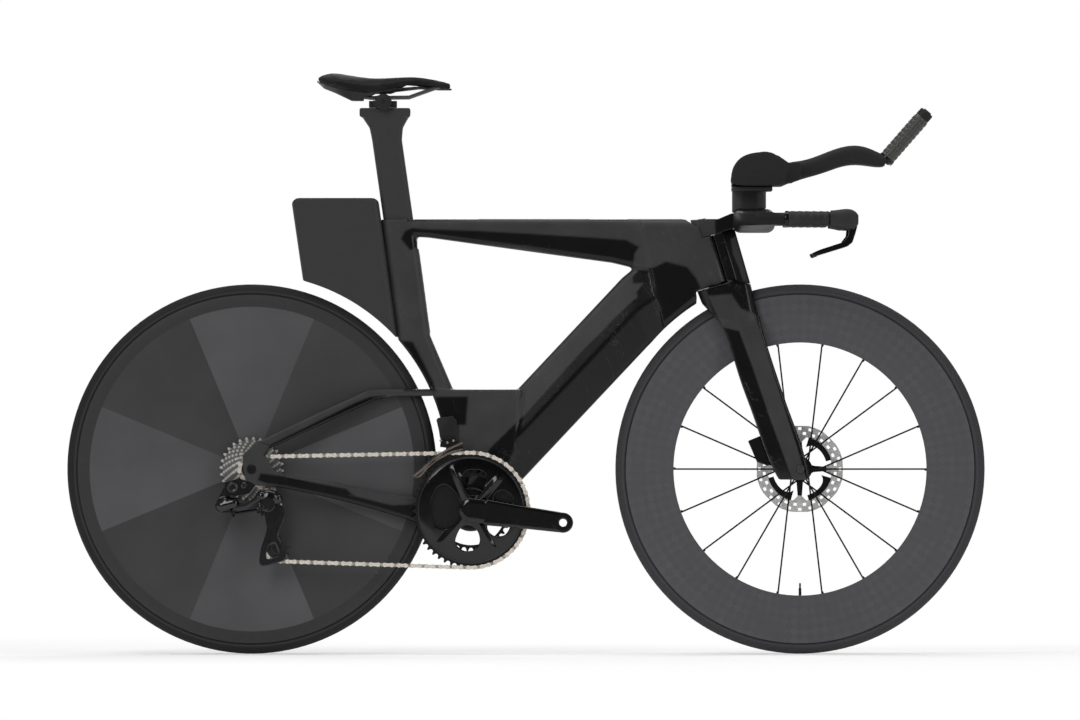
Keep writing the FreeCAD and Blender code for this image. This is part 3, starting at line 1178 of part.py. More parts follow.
def hood_shape(sign):
    """Lever body at the end of a horn, with the slot for its lever."""
    side = sign * horn_side()
    widths = [mm("hood_radius") * 2 * share for share in HOOD_WIDTH_SHARES]
    hood = tube(HOOD_PIXELS, widths, [side] * len(widths), smooth=True)
    half = mm("lever_width") / 2 + mm("running_gap")
    hood = hood.cut(prism(HOOD_SLOT_PIXELS, side - half, side + half))
    pin = photo(LEVER_PIN_PIXEL)
    return hood.fuse(across_cylinder(mm("lever_pin_radius"), pin, side - 2 * half, side + 2 * half))


def grip_line():
    """Right hand grip: its start, the end of its tape, the tip of its pod and its direction."""
    start, tape_end = [photo(pixel, -mm("extension_side")) for pixel in GRIP_PIXELS]
    along = (tape_end - start).normalize()
    return start, tape_end, tape_end + along * mm("cap_length"), along


def cup_shape():
    """Right arm cup, its extension and the hand tube, as one moulded piece."""
    side, half, wall = -mm("cup_side"), mm("cup_half_width"), mm("cup_wall")
    rear, front = photo(CUP_PIXELS[0]), photo(CUP_PIXELS[7])
    floor, length, overrun = rear.z, front.x - rear.x, mm("overrun")

    def trough(radius, start, span):
        middle = Vector(start, side, floor + half)
        box = Part.makeBox(span, 2 * radius, 2 * half, Vector(start, side - radius, floor + half))
        return cylinder(radius, middle, FORWARD, span).fuse(box)

    shell = trough(half, rear.x, length).cut(trough(half - wall, rear.x - overrun, length + 2 * overrun))
    shell = shell.common(prism(CUP_PIXELS, side - half, side + half))
    arm = tube(EXTENSION_PIXELS, [mm("extension_width")] * len(EXTENSION_PIXELS),
               [-mm("extension_side")] * len(EXTENSION_PIXELS), smooth=True, round_share=0.4)
    start, tape_end, end, along = grip_line()
    hand = cylinder(mm("hand_radius"), start, along, (tape_end - start).Length)
    pod = cylinder(mm("grip_radius") - mm("pod_gap"), tape_end, along, (end - tape_end).Length)
    depth = mm("button_depth")
    well = cylinder(mm("button_radius") + 2 * mm("fit_gap"), end - along * depth, along, depth)
    return largest(shell.multiFuse([arm, hand, pod]).cut(well))


def arm_pad():
    """Soft lining of the right arm cup, thick on its floor and drawn in at its sides."""
    side, half, wall = -mm("cup_side"), mm("cup_half_width"), mm("cup_wall")
    floor = photo(CUP_PIXELS[0]).z + half
    outer = half - wall - mm("pad_gap")
    wires = []
    for pixel, share in zip(PAD_PIXELS, PAD_LAYER_SHARES):
        spot = photo(pixel)
        points = []
        for radius, turns in ((outer, PAD_TURNS), (outer - mm("pad_layer") * share, PAD_TURNS[::-1])):
            points.append([Vector(spot.x, side + radius * math.cos(math.radians(turn)),
                                  floor + radius * math.sin(math.radians(turn))) for turn in turns])
        low, high = points
        edges = [Part.Arc(*low), Part.LineSegment(low[2], high[0]), Part.Arc(*high),
                 Part.LineSegment(high[2], low[0])]
        wires.append(Part.Wire([edge.toShape() for edge in edges]))
    return Part.makeLoft(wires, True, False)


def add_cockpit():
    """Fork, stem, bar, risers, cups, tape, hoods, levers and buttons."""
    fork, stem = fork_shape(), stem_shape()
    axis = steering_direction()
    steerer = cylinder(mm("steerer_radius"), on_steering_axis(mm("crown_height")), axis, mm("wing_width"))
    stem = stem.cut(steerer.common(fork))
    add("fork", fork)
    add("stem", stem)
    bar = bar_shape([fork, stem])
    add("base_bar", bar)
    riser = tube(RISER_PIXELS, [mm("riser_width")] * 2, round_share=0.35)
    half = mm("plate_half_width")
    cup = cup_shape()
    plate = prism(PLATE_PIXELS, -half, half, mm("plate_corner"))
    add("riser", largest(riser.fuse(plate).cut([bar, stem, cup, mirrored(cup)])))
    add("arm_cups", both_sides(cup))
    add("arm_pads", both_sides(arm_pad()))
    root, end = photo(HORN_PIXELS[1], -horn_side()), photo(HORN_PIXELS[2], -horn_side())
    radius = mm("horn_radius")
    tape = ring(radius + mm("tape_thickness"), radius, root, FORWARD, end.x - root.x)
    start, tape_end, tip, along = grip_line()
    grip = ring(mm("grip_radius"), mm("hand_radius"), start, along, (tape_end - start).Length)
    grip = largest(grip.cut(cup))
    add("bar_tape", Part.makeCompound([tape, mirrored(tape), grip, mirrored(grip)]))
    hoods = [hood_shape(sign).cut(bar) for sign in (-1, 1)]
    add("lever_hoods", Part.makeCompound(hoods))
    half = mm("lever_width") / 2
    for label, sign in (("brake_lever_right", -1), ("brake_lever_left", 1)):
        side = sign * horn_side()
        lever = prism(LEVER_PIXELS, side - half, side + half, mm("lever_corner"))
        bore = mm("lever_pin_radius") + mm("fit_gap")
        pin = across_cylinder(bore, photo(LEVER_PIN_PIXEL), side - 2 * half, side + 2 * half)
        add(label, lever.cut(pin))
    depth, travel = mm("button_depth"), mm("button_travel")
    button = cylinder(mm("button_radius"), tip - along * (depth - travel - mm("running_gap")), along, depth)
    add("shift_button_right", button)
    add("shift_button_left", mirrored(button))
    return fork


def saddle_wire(pixel_x, top, bottom, half):
    """Section of the saddle across the bike: a crowned top over drawn-in sides."""
    crest, base = photo((pixel_x, top)), photo((pixel_x, bottom))
    shoulder = base.z + (crest.z - base.z) * SADDLE_SHOULDER_SHARE
    foot = ACROSS * (half * SADDLE_FOOT_SHARE)
    left, right = Vector(crest.x, half, shoulder), Vector(crest.x, -half, shoulder)
    edges = [Part.Arc(left, crest, right), Part.LineSegment(right, base - foot),
             Part.LineSegment(base - foot, base + foot), Part.LineSegment(base + foot, left)]
    return Part.Wire([edge.toShape() for edge in edges])


def shell_wire(pixel_x, top, depth, half):
    """Section of the shell under the cover, narrower at its foot."""
    drop = UP * mm("pad_gap")
    high, low = photo((pixel_x, top)) - drop, photo((pixel_x, top + depth)) - drop
    wide, slim = ACROSS * (half * SHELL_TOP_SHARE), ACROSS * (half * SHELL_FOOT_SHARE)
    points = [high - wide, high + wide, low + slim, low - slim]
    return Part.makePolygon(points + points[:1])


def rail_shape():
    """Right rail: straight bars with round joints, from the shell's tail to its nose."""
    spots = [photo(pixel, -mm("rail_side") * share) for pixel, share in zip(RAIL_PIXELS, RAIL_SIDE_SHARES)]
    radius = mm("rail_radius")
    pieces = []
    for start, end in zip(spots, spots[1:]):
        pieces.append(cylinder(radius, start, (end - start).normalize(), (end - start).Length))
        pieces.append(Part.makeSphere(radius, end))
    return pieces[0].multiFuse(pieces[1:])


def add_seat():
    """Seat post, clamp, rails, shell and cover."""
    post = post_shape(0, 0)
    flare = tube(POST_FLARE_PIXELS, [mm("post_width"), mm("post_width"), mm("table_width")])
    table = prism(POST_TABLE_PIXELS, -mm("table_width") / 2, mm("table_width") / 2, mm("table_corner"))
    add("seatpost", post.multiFuse([flare, table]))
    halves = [share * mm("saddle_rear_half") for share in SADDLE_HALF_SHARES]
    wires = [saddle_wire(*station, half) for station, half in zip(SADDLE_PIXELS, halves)]
    cover = Part.makeLoft(wires, True, False)
    channel = mm("channel_width") / 2
    cover = largest(cover.cut(prism(CHANNEL_PIXELS, -channel, channel)))
    add("saddle_cover", cover)
    stations = zip(SADDLE_PIXELS, SHELL_DEPTH_PIXELS, halves)
    wires = [shell_wire(x, bottom, depth, half) for (x, _, bottom), depth, half in stations]
    shell = Part.makeLoft(wires, True, True)
    room = mm("clamp_half_width") + mm("running_gap")
    shell = shell.cut(prism(CLAMP_ROOM_PIXELS, -room, room))
    shell = largest(shell.cut(cover))
    rail = rail_shape().cut([shell, cover])
    rails = both_sides(largest(rail))
    add("saddle_shell", shell)
    add("saddle_rails", rails)
    centre, half, radius = photo(CLAMP_PIXEL), mm("clamp_half_width"), mm("clamp_radius")
    ear, table = mm("clamp_ear_radius"), mm("table_width") / 2 + mm("running_gap")
    disc = across_cylinder(radius, centre, -half, half)
    spans = ((-half, -table), (table, half))
    disc = disc.multiFuse([across_cylinder(ear, centre, *span) for span in spans])
    corner = centre - Vector(2 * radius, 2 * half, 0)
    flat = Part.makeBox(4 * radius, 4 * half, 4 * radius, corner)
    add("saddle_cradle", disc.cut(flat).fuse(cradle_caps(centre)).cut(rails))
    base = prism(CLAMP_BASE_PIXELS, -mm("table_width") / 2, mm("table_width") / 2)
    add("saddle_clamp_base", base.cut(across_cylinder(radius + mm("fit_gap"), centre, -2 * half, 2 * half)))


def cradle_caps(centre):
    """Caps over both rails, on the flat top of the cradle."""
    length, height, rail = mm("cradle_cap_length"), mm("cradle_cap_height"), mm("rail_radius")
    sides = (-mm("rail_side"), mm("rail_side"))
    corners = [centre + Vector(-length / 2, side - 2 * rail, 0) for side in sides]
    return [Part.makeBox(length, 4 * rail, height, corner) for corner in corners]


def check_pieces():
    """Every piece that is exported, or an error if one is broken."""
    doc.recompute()
    kinds = ("Part::Feature", "Part::Cylinder", "PartDesign::Body")
    pieces = [piece for piece in doc.Objects if piece.TypeId in kinds]
    for piece in pieces:
        broken = {"Invalid", "Error"} & set(piece.State)
        if broken or piece.Shape.isNull() or not piece.Shape.isValid() or not piece.Shape.Solids:
            raise ValueError(f"{piece.Label} is not a valid solid")
    return pieces


def main():
    fill_sheet()
    frame, stays = add_frame()
    add_rear_wheel()
    add_front_wheel()
    cage_angle, pins = add_drivetrain()
    add_rear_mech(cage_angle, pins)
    add_front_mech(frame)
    fork = add_cockpit()
    add_brakes(stays, fork)
    add_seat()
    os.makedirs("parts", exist_ok=True)
    pieces = check_pieces()
    for piece in pieces:
        piece.Shape.exportStep(f"parts/{piece.Label}.step")
    print(f"{len(pieces)} pieces, chain of {len(pins)} links, cage at {cage_angle:.2f} degrees")


main()
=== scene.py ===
"""Time trial bike: its looks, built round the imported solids, in metres and in their frame."""

import json
import logging
import math
from collections.abc import Callable, Iterator
from dataclasses import dataclass
from enum import Enum
from typing import ClassVar

import bmesh
import bpy
import numpy as np
from mathutils import Matrix, Vector

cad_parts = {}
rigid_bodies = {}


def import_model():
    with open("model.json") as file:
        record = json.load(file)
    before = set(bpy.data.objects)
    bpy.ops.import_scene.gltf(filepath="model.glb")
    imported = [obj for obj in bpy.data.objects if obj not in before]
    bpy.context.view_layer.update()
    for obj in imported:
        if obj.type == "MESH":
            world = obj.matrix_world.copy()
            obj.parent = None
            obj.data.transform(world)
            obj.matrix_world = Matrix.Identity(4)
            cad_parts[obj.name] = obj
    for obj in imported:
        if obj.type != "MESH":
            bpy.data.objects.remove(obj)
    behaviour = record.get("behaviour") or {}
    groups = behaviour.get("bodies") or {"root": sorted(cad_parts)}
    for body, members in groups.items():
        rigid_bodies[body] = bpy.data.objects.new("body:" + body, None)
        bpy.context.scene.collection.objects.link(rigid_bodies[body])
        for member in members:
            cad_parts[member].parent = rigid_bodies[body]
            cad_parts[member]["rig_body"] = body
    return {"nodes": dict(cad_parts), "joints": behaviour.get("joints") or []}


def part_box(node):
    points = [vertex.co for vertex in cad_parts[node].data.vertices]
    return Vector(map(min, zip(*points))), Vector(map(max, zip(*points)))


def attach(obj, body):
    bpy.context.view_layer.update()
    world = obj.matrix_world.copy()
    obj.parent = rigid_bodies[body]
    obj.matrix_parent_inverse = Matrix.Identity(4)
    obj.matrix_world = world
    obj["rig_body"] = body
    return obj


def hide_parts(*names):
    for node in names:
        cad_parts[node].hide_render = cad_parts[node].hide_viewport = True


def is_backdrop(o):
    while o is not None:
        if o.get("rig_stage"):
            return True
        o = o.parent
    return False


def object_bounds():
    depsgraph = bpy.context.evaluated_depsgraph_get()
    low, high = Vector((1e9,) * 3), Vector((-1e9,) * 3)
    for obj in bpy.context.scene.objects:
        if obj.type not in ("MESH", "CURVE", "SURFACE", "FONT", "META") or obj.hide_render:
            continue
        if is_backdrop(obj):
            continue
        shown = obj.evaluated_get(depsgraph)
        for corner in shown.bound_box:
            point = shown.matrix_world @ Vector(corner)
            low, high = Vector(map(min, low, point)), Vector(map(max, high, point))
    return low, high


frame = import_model()
CAD_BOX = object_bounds()

logging.basicConfig(level=logging.INFO, format="%(message)s")
log = logging.getLogger("bike")

MM = 0.001
ACROSS = Vector((0, 1, 0))
UP = Vector((0, 0, 1))
SIDES = (-1, 1)

NODES = frame["nodes"]
PIVOTS = {joint["name"]: Vector(joint["pos_m"]) for joint in frame["joints"] if "pos_m" in joint}
REAR_AXLE = PIVOTS["rear_wheel_spin"]
FRONT_AXLE = PIVOTS["front_wheel_spin"]
BRACKET = PIVOTS["crank_spin"]

REAR_AXLE_PIXEL = (252, 469)
FRONT_AXLE_PIXEL = (800, 469)
GROUND_PIXEL = 653.7
PIXEL = (FRONT_AXLE.x - REAR_AXLE.x) / (FRONT_AXLE_PIXEL[0] - REAR_AXLE_PIXEL[0])

WELD = 0.01 * MM
FINE_WELD = 0.002 * MM
ROD_SIDES = 20
PAD_ROUNDS = 3
CLOTH_FRAMES = 20
CLOTH_PRESSURE = 4.0
# Inputs of a map range that take in most of a noise's values
NOISE_SPAN = {1: 0.3, 2: 0.7}

Piece = bpy.types.Object
Mesh = bmesh.types.BMesh
Edges = list[bmesh.types.BMEdge]
Pixel = tuple[float, float]
Tree = bpy.types.NodeTree
Socket = bpy.types.NodeSocket
Links = dict[str, Socket]


def spot(pixel: Pixel, across: float = 0.0) -> Vector:
    """Point of the bike under a pixel of the photograph.

    Args:
        pixel: Place in the photograph, from its top left corner.
        across: Distance from the middle of the bike, in metres.

    Returns:
        The point in the frame of the solids.
    """
    along = REAR_AXLE.x + (pixel[0] - REAR_AXLE_PIXEL[0]) * PIXEL
    return Vector((along, across, (GROUND_PIXEL - pixel[1]) * PIXEL))


def linear(code: str) -> tuple[float, float, float, float]:
    """Linear colour of an sRGB hex code.

    Args:
        code: Six hex digits after a hash.

    Returns:
        Red, green, blue and full alpha.
    """
    parts = [int(code[i:i + 2], 16) / 255 for i in (1, 3, 5)]
    red, green, blue = [p / 12.92 if p <= 0.04045 else ((p + 0.055) / 1.055) ** 2.4 for p in parts]
    return red, green, blue, 1.0


def add_node(tree: Tree, kind: str, inputs: dict | None = None, **settings: str) -> bpy.types.NodeOutputs:
    """Adds one node with its settings and links.

    Args:
        tree: Tree that gets the node.
        kind: Node type, without the prefix that all of them share.
        inputs: Input names or numbers, each with a socket to link or a plain value.
        settings: Properties of the node.

    Returns:
        The outputs of the new node.
    """
    node = tree.nodes.new(f"ShaderNode{kind}")
    for name, value in settings.items():
        setattr(node, name, value)
    for name, value in (inputs or {}).items():
        if isinstance(value, Socket):
            tree.links.new(value, node.inputs[name])
        else:
            node.inputs[name].default_value = value
    return node.outputs


def polar(tree: Tree, centre: Vector) -> tuple[Socket, Socket, Socket]:
    """Wheel coordinates of a surface.

    Args:
        tree: Tree that gets the nodes.
        centre: Point on the axle.

    Returns:
        Angle in radians, radius and distance across, both in metres.
    """
    place = add_node(tree, "TexCoord")["Object"]
    moved = add_node(tree, "Mapping", {"Vector": place, "Location": -centre})[0]
    axes = add_node(tree, "SeparateXYZ", {0: moved})
    angle = add_node(tree, "Math", {0: axes["Z"], 1: axes["X"]}, operation="ARCTAN2")
    flat = add_node(tree, "VectorMath", {0: moved, 1: (1, 0, 1)}, operation="MULTIPLY")[0]
    radius = add_node(tree, "VectorMath", {0: flat}, operation="LENGTH")
    return angle[0], radius["Value"], axes["Y"]


@dataclass(frozen=True)
class Finish:
    """A surface: its colour, its gloss and the slot of the record that it belongs to."""

    name: str
    slot: str
    colour: str
    roughness: float
    metallic: float = 0.0
    ior: float = 1.5
    specular: float = 0.5
    sheen: float = 0.0

    def material(self) -> bpy.types.Material:
        """Material of this finish, made once."""
        made = bpy.data.materials.get(self.name)
        if made:
            return made
        made = bpy.data.materials.new(self.name)
        made.use_nodes = True
        tree = made.node_tree
        tree.nodes.clear()
        inputs = {"Base Color": linear(self.colour), "Roughness": self.roughness, "Metallic": self.metallic,
                  "IOR": self.ior, "Specular IOR Level": self.specular, "Sheen Weight": self.sheen}
        inputs.update(self.pattern(tree))
        shader = add_node(tree, "BsdfPrincipled", inputs)
        add_node(tree, "OutputMaterial", {"Surface": shader[0]})
        return made

    def pattern(self, tree: Tree) -> Links:
        """Sockets of the shader that vary over the surface.

        Args:
            tree: Tree of the material.

        Returns:
            Shader inputs with the sockets that drive them.
        """
        raise NotImplementedError


@dataclass(frozen=True)
class PaintedCarbon(Finish):
    """Carbon composite under a thin smoky paint and a satin clear coat.

    The eye sees two charcoals that meet on soft lines, thin pale veins like those of slate, and a dull sheen.
    The darker charcoal is partly two-toned paint and partly painted shade on the tubes' undersides and on
    facets turned from the light.
    """

    dark: str = "#0B0B0B"
    vein: str = "#5A5A5C"
    polish: float = 0.16
    cloud_size: float = 60 * MM
    vein_size: float = 120 * MM
    vein_width: float = 0.005
    vein_share: float = 0.36

    def pattern(self, tree: Tree) -> Links:
        """Two-toned paint and painted shade from the piece's own attribute, clouds and veins."""
        place = add_node(tree, "TexCoord")["Object"]
        # Painted shade: the attribute's dark share is partly dark paint and partly painted shade on
        # undersides and facets.
        tone_and_shade = add_node(tree, "Attribute", attribute_name="tone_and_shade")["Fac"]
        base = add_node(tree, "Mix", {0: tone_and_shade, 6: linear(self.colour), 7: linear(self.dark)},
                        data_type="RGBA")[2]
        cloud = add_node(tree, "TexNoise", {"Vector": place, "Scale": 1 / self.cloud_size, "Detail": 5.0,
                                            "Roughness": 0.6})["Fac"]
        shade = add_node(tree, "MapRange", {0: cloud, **NOISE_SPAN, 3: 0.84, 4: 1.16})[0]
        base = add_node(tree, "VectorMath", {0: base, 3: shade}, operation="SCALE")[0]
        line = add_node(tree, "TexNoise", {"Vector": place, "Scale": 1 / self.vein_size, "Detail": 4.0,
                                           "Roughness": 0.62, "Distortion": 0.8})["Fac"]
        off = add_node(tree, "Math", {0: line, 1: 0.5}, operation="SUBTRACT")[0]
        off = add_node(tree, "Math", {0: off}, operation="ABSOLUTE")[0]
        vein = add_node(tree, "MapRange", {0: off, 2: self.vein_width, 3: self.vein_share, 4: 0.0})[0]
        gate = add_node(tree, "MapRange", {0: cloud, 1: 0.48, 2: 0.6})[0]
        vein = add_node(tree, "Math", {0: vein, 1: gate}, operation="MULTIPLY")[0]
        base = add_node(tree, "Mix", {0: vein, 6: base, 7: linear(self.vein)}, data_type="RGBA")[2]
        dull = add_node(tree, "MapRange", {0: tone_and_shade, 3: self.roughness, 4: self.polish})[0]
        gloss = add_node(tree, "Math", {0: cloud, 1: 0.12, 2: dull}, operation="MULTIPLY_ADD")[0]
        return {"Base Color": base, "Roughness": gloss}


@dataclass(frozen=True)
class MouldedCarbon(Finish):
    """Short fibre carbon, moulded and left bare: a matt charcoal with a fine salt and pepper fleck."""

    fleck: str = "#404042"
    fleck_size: float = 2.4 * MM
    flow_size: float = 45 * MM

    def pattern(self, tree: Tree) -> Links:
        """Flecks of fibre and a slow change of gloss."""
        place = add_node(tree, "TexCoord")["Object"]
        chips = add_node(tree, "TexVoronoi", {"Vector": place, "Scale": 1 / self.fleck_size})
        grey = add_node(tree, "SeparateColor", {0: chips["Color"]})[0]
        share = add_node(tree, "MapRange", {0: grey, 1: 0.3, 2: 1.0, 3: 0.0, 4: 0.28})[0]
        base = add_node(tree, "Mix", {0: share, 6: linear(self.colour), 7: linear(self.fleck)},
                        data_type="RGBA")[2]
        slow = add_node(tree, "TexNoise", {"Vector": place, "Scale": 1 / self.flow_size, "Detail": 3.0})
        gloss = add_node(tree, "MapRange", {0: slow["Fac"], **NOISE_SPAN,
                                            3: self.roughness - 0.06, 4: self.roughness + 0.06})[0]
        bump = add_node(tree, "Bump", {"Strength": 0.12, "Distance": 0.1 * MM, "Height": grey})[0]
        return {"Base Color": base, "Roughness": gloss, "Normal": bump}


@dataclass(frozen=True)
class GlossLacquer(Finish):
    """Black lacquer, polished: near black with clear reflections and a trace of dust in the gloss."""

    dust_size: float = 14 * MM

    def pattern(self, tree: Tree) -> Links:
        """Polish marks that break the gloss a little."""
        place = add_node(tree, "TexCoord")["Object"]
        dust = add_node(tree, "TexNoise", {"Vector": place, "Scale": 1 / self.dust_size, "Detail": 8.0,
                                           "Roughness": 0.7})["Fac"]
        gloss = add_node(tree, "MapRange", {0: dust, 1: 0.35, 2: 0.75, 3: self.roughness * 0.7,
                                            4: self.roughness * 1.6})[0]
        shade = add_node(tree, "MapRange", {0: dust, **NOISE_SPAN, 3: 0.8, 4: 1.25})[0]
        base = add_node(tree, "VectorMath", {0: linear(self.colour)[:3], 3: shade}, operation="SCALE")[0]
        return {"Base Color": base, "Roughness": gloss}


@dataclass(frozen=True)
class SectorCarbon(Finish):
    """Unidirectional carbon laid in sectors: each catches the light its own way, so their greys alternate."""

    centre: Vector = REAR_AXLE
    light: str = "#545456"
    sectors: int = 8
    first: float = math.radians(22.5)
    seam_radius: float = 297 * MM
    seam_half: float = 0.7 * MM
    fibre: float = 1.6 * MM
    fibre_radius: float = 180 * MM
    sway_size: float = 80 * MM

    def pattern(self, tree: Tree) -> Links:
        """Sectors by angle, a faint seam circle and the run of the fibres."""
        angle, radius, _ = polar(tree, self.centre)
        turn = add_node(tree, "Math", {0: angle, 1: 2 * math.tau - self.first}, operation="ADD")[0]
        step = add_node(tree, "Math", {0: turn, 1: self.sectors / math.tau}, operation="MULTIPLY")[0]
        whole = add_node(tree, "Math", {0: step}, operation="FLOOR")[0]
        other = add_node(tree, "Math", {0: whole, 1: 2.0}, operation="MODULO")[0]
        base = add_node(tree, "Mix", {0: other, 6: linear(self.colour), 7: linear(self.light)},
                        data_type="RGBA")[2]
        place = add_node(tree, "TexCoord")["Object"]
        sway = add_node(tree, "TexNoise", {"Vector": place, "Scale": 1 / self.sway_size, "Detail": 3.0})
        within = add_node(tree, "Math", {0: step}, operation="FRACT")[0]
        leaning = add_node(tree, "MapRange", {0: within, 3: -0.06, 4: 0.06})[0]
        shade = add_node(tree, "MapRange", {0: sway["Fac"], **NOISE_SPAN, 3: 0.93, 4: 1.07})
        shade = add_node(tree, "Math", {0: shade[0], 1: leaning}, operation="ADD")[0]
        seam = add_node(tree, "Math", {0: radius, 1: self.seam_radius, 2: self.seam_half},
                        operation="COMPARE")
        seam = add_node(tree, "Math", {0: seam[0], 1: -0.16, 2: shade}, operation="MULTIPLY_ADD")
        base = add_node(tree, "VectorMath", {0: base, 3: seam[0]}, operation="SCALE")[0]
        rays = add_node(tree, "Math", {0: angle, 1: self.fibre_radius / self.fibre}, operation="MULTIPLY")[0]
        fine = add_node(tree, "TexNoise", {"W": rays, "Scale": 1.0, "Detail": 2.0}, noise_dimensions="1D")
        gloss = add_node(tree, "MapRange", {0: fine[0], **NOISE_SPAN, 3: self.roughness - 0.04,
                                            4: self.roughness + 0.05})[0]
        bump = add_node(tree, "Bump", {"Strength": 0.1, "Distance": 0.05 * MM, "Height": fine[0]})[0]
        return {"Base Color": base, "Roughness": gloss, "Normal": bump}


@dataclass(frozen=True)
class WovenCarbon(Finish):
    """Woven carbon on a deep rim: faint diamonds that follow the hoop, under a thin clear coat.

    The real tows are 3 mm wide. The diamonds are drawn 18 mm long, as finer ones don't show at this size.
    """

    centre: Vector = FRONT_AXLE
    light: str = "#505052"
    tow: float = 18 * MM
    hoop_radius: float = 280 * MM

    def pattern(self, tree: Tree) -> Links:
        """Check in wheel coordinates."""
        angle, radius, _ = polar(tree, self.centre)
        along = add_node(tree, "Math", {0: angle, 1: self.hoop_radius / self.tow}, operation="MULTIPLY")
        out = add_node(tree, "Math", {0: radius, 1: 1 / self.tow}, operation="MULTIPLY")
        left = add_node(tree, "Math", {0: along[0], 1: out[0]}, operation="ADD")[0]
        right = add_node(tree, "Math", {0: along[0], 1: out[0]}, operation="SUBTRACT")[0]
        spun = add_node(tree, "CombineXYZ", {0: left, 1: right})[0]
        check = add_node(tree, "TexChecker", {"Vector": spun, "Scale": 1.0})["Fac"]
        cloud = add_node(tree, "TexNoise", {"Vector": spun, "Scale": 0.35, "Detail": 2.0})["Fac"]
        gate = add_node(tree, "MapRange", {0: cloud, 1: 0.35, 2: 0.65, 3: 0.05, 4: 0.45})[0]
        share = add_node(tree, "Math", {0: check, 1: gate}, operation="MULTIPLY")[0]
        base = add_node(tree, "Mix", {0: share, 6: linear(self.colour), 7: linear(self.light)},
                        data_type="RGBA")[2]
        gloss = add_node(tree, "MapRange", {0: share, 3: self.roughness + 0.05, 4: self.roughness - 0.05})[0]
        return {"Base Color": base, "Roughness": gloss}


@dataclass(frozen=True)
class TyreRubber(Finish):
    """Vulcanised rubber: a dull near black tread with a file pattern on its shoulders, paler smooth walls."""

    centre: Vector = FRONT_AXLE
    wall: str = "#3E3E40"
    file: float = 3.2 * MM
    outer_radius: float = 338 * MM
    tread_radius: float = 325 * MM
    crown_half: float = 4.5 * MM
    soft: float = 1 * MM

    def pattern(self, tree: Tree) -> Links:
        """File pattern above the walls, with painted light on it: its grooves darker and its raised cells
        paler.
        """
        angle, radius, across = polar(tree, self.centre)
        along = add_node(tree, "Math", {0: angle, 1: self.outer_radius / self.file}, operation="MULTIPLY")[0]
        out = add_node(tree, "Math", {0: radius, 1: 1 / self.file}, operation="MULTIPLY")[0]
        spun = add_node(tree, "CombineXYZ", {0: along, 1: out})[0]
        cells = add_node(tree, "TexVoronoi", {"Vector": spun, "Scale": 1.0, "Randomness": 0.25},
                         feature="DISTANCE_TO_EDGE")["Distance"]
        cut = add_node(tree, "MapRange", {0: cells, 1: 0.02, 2: 0.16})[0]
        tread = add_node(tree, "MapRange", {0: radius, 1: self.tread_radius - self.soft,
                                            2: self.tread_radius + self.soft})[0]
        side = add_node(tree, "Math", {0: across}, operation="ABSOLUTE")[0]
        edge = self.crown_half
        off_crown = add_node(tree, "MapRange", {0: side, 1: edge, 2: edge + self.soft})[0]
        shoulder = add_node(tree, "Math", {0: tread, 1: off_crown}, operation="MULTIPLY")[0]
        height = add_node(tree, "Math", {0: cut, 1: shoulder}, operation="MULTIPLY")[0]
        base = add_node(tree, "Mix", {0: tread, 6: linear(self.wall), 7: linear(self.colour)},
                        data_type="RGBA")[2]
        # Painted light on the file pattern: darker in its grooves, paler on its raised cells.
        bright = add_node(tree, "MapRange", {0: height, 3: 0.9, 4: 1.5})[0]
        base = add_node(tree, "VectorMath", {0: base, 3: bright}, operation="SCALE")[0]
        bump = add_node(tree, "Bump", {"Strength": 0.7, "Distance": 0.5 * MM, "Height": height})[0]
        gloss = add_node(tree, "MapRange", {0: tread, 3: self.roughness - 0.12, 4: self.roughness})[0]
        return {"Base Color": base, "Roughness": gloss, "Normal": bump}


@dataclass(frozen=True)
class TurnedSteel(Finish):
    """Stainless steel ground in rings: pale metal whose fine circles stretch the highlights."""

    centre: Vector = REAR_AXLE
    ring: float = 0.9 * MM
    wear_size: float = 9 * MM

    def pattern(self, tree: Tree) -> Links:
        """Rings by radius, and heat and wear by noise."""
        _, radius, _ = polar(tree, self.centre)
        rings = add_node(tree, "TexNoise", {"W": radius, "Scale": 1 / self.ring, "Detail": 3.0},
                         noise_dimensions="1D")[0]
        place = add_node(tree, "TexCoord")["Object"]
        wear = add_node(tree, "TexNoise", {"Vector": place, "Scale": 1 / self.wear_size, "Detail": 4.0})[0]
        both = add_node(tree, "Math", {0: rings, 1: wear}, operation="ADD")[0]
        shade = add_node(tree, "MapRange", {0: both, 1: 0.6, 2: 1.4, 3: 0.8, 4: 1.15})[0]
        base = add_node(tree, "VectorMath", {0: linear(self.colour)[:3], 3: shade}, operation="SCALE")[0]
        gloss = add_node(tree, "MapRange", {0: both, 1: 0.6, 2: 1.4, 3: self.roughness - 0.08,
                                            4: self.roughness + 0.1})[0]
        bump = add_node(tree, "Bump", {"Strength": 0.15, "Distance": 0.03 * MM, "Height": rings})[0]
        return {"Base Color": base, "Roughness": gloss, "Normal": bump}


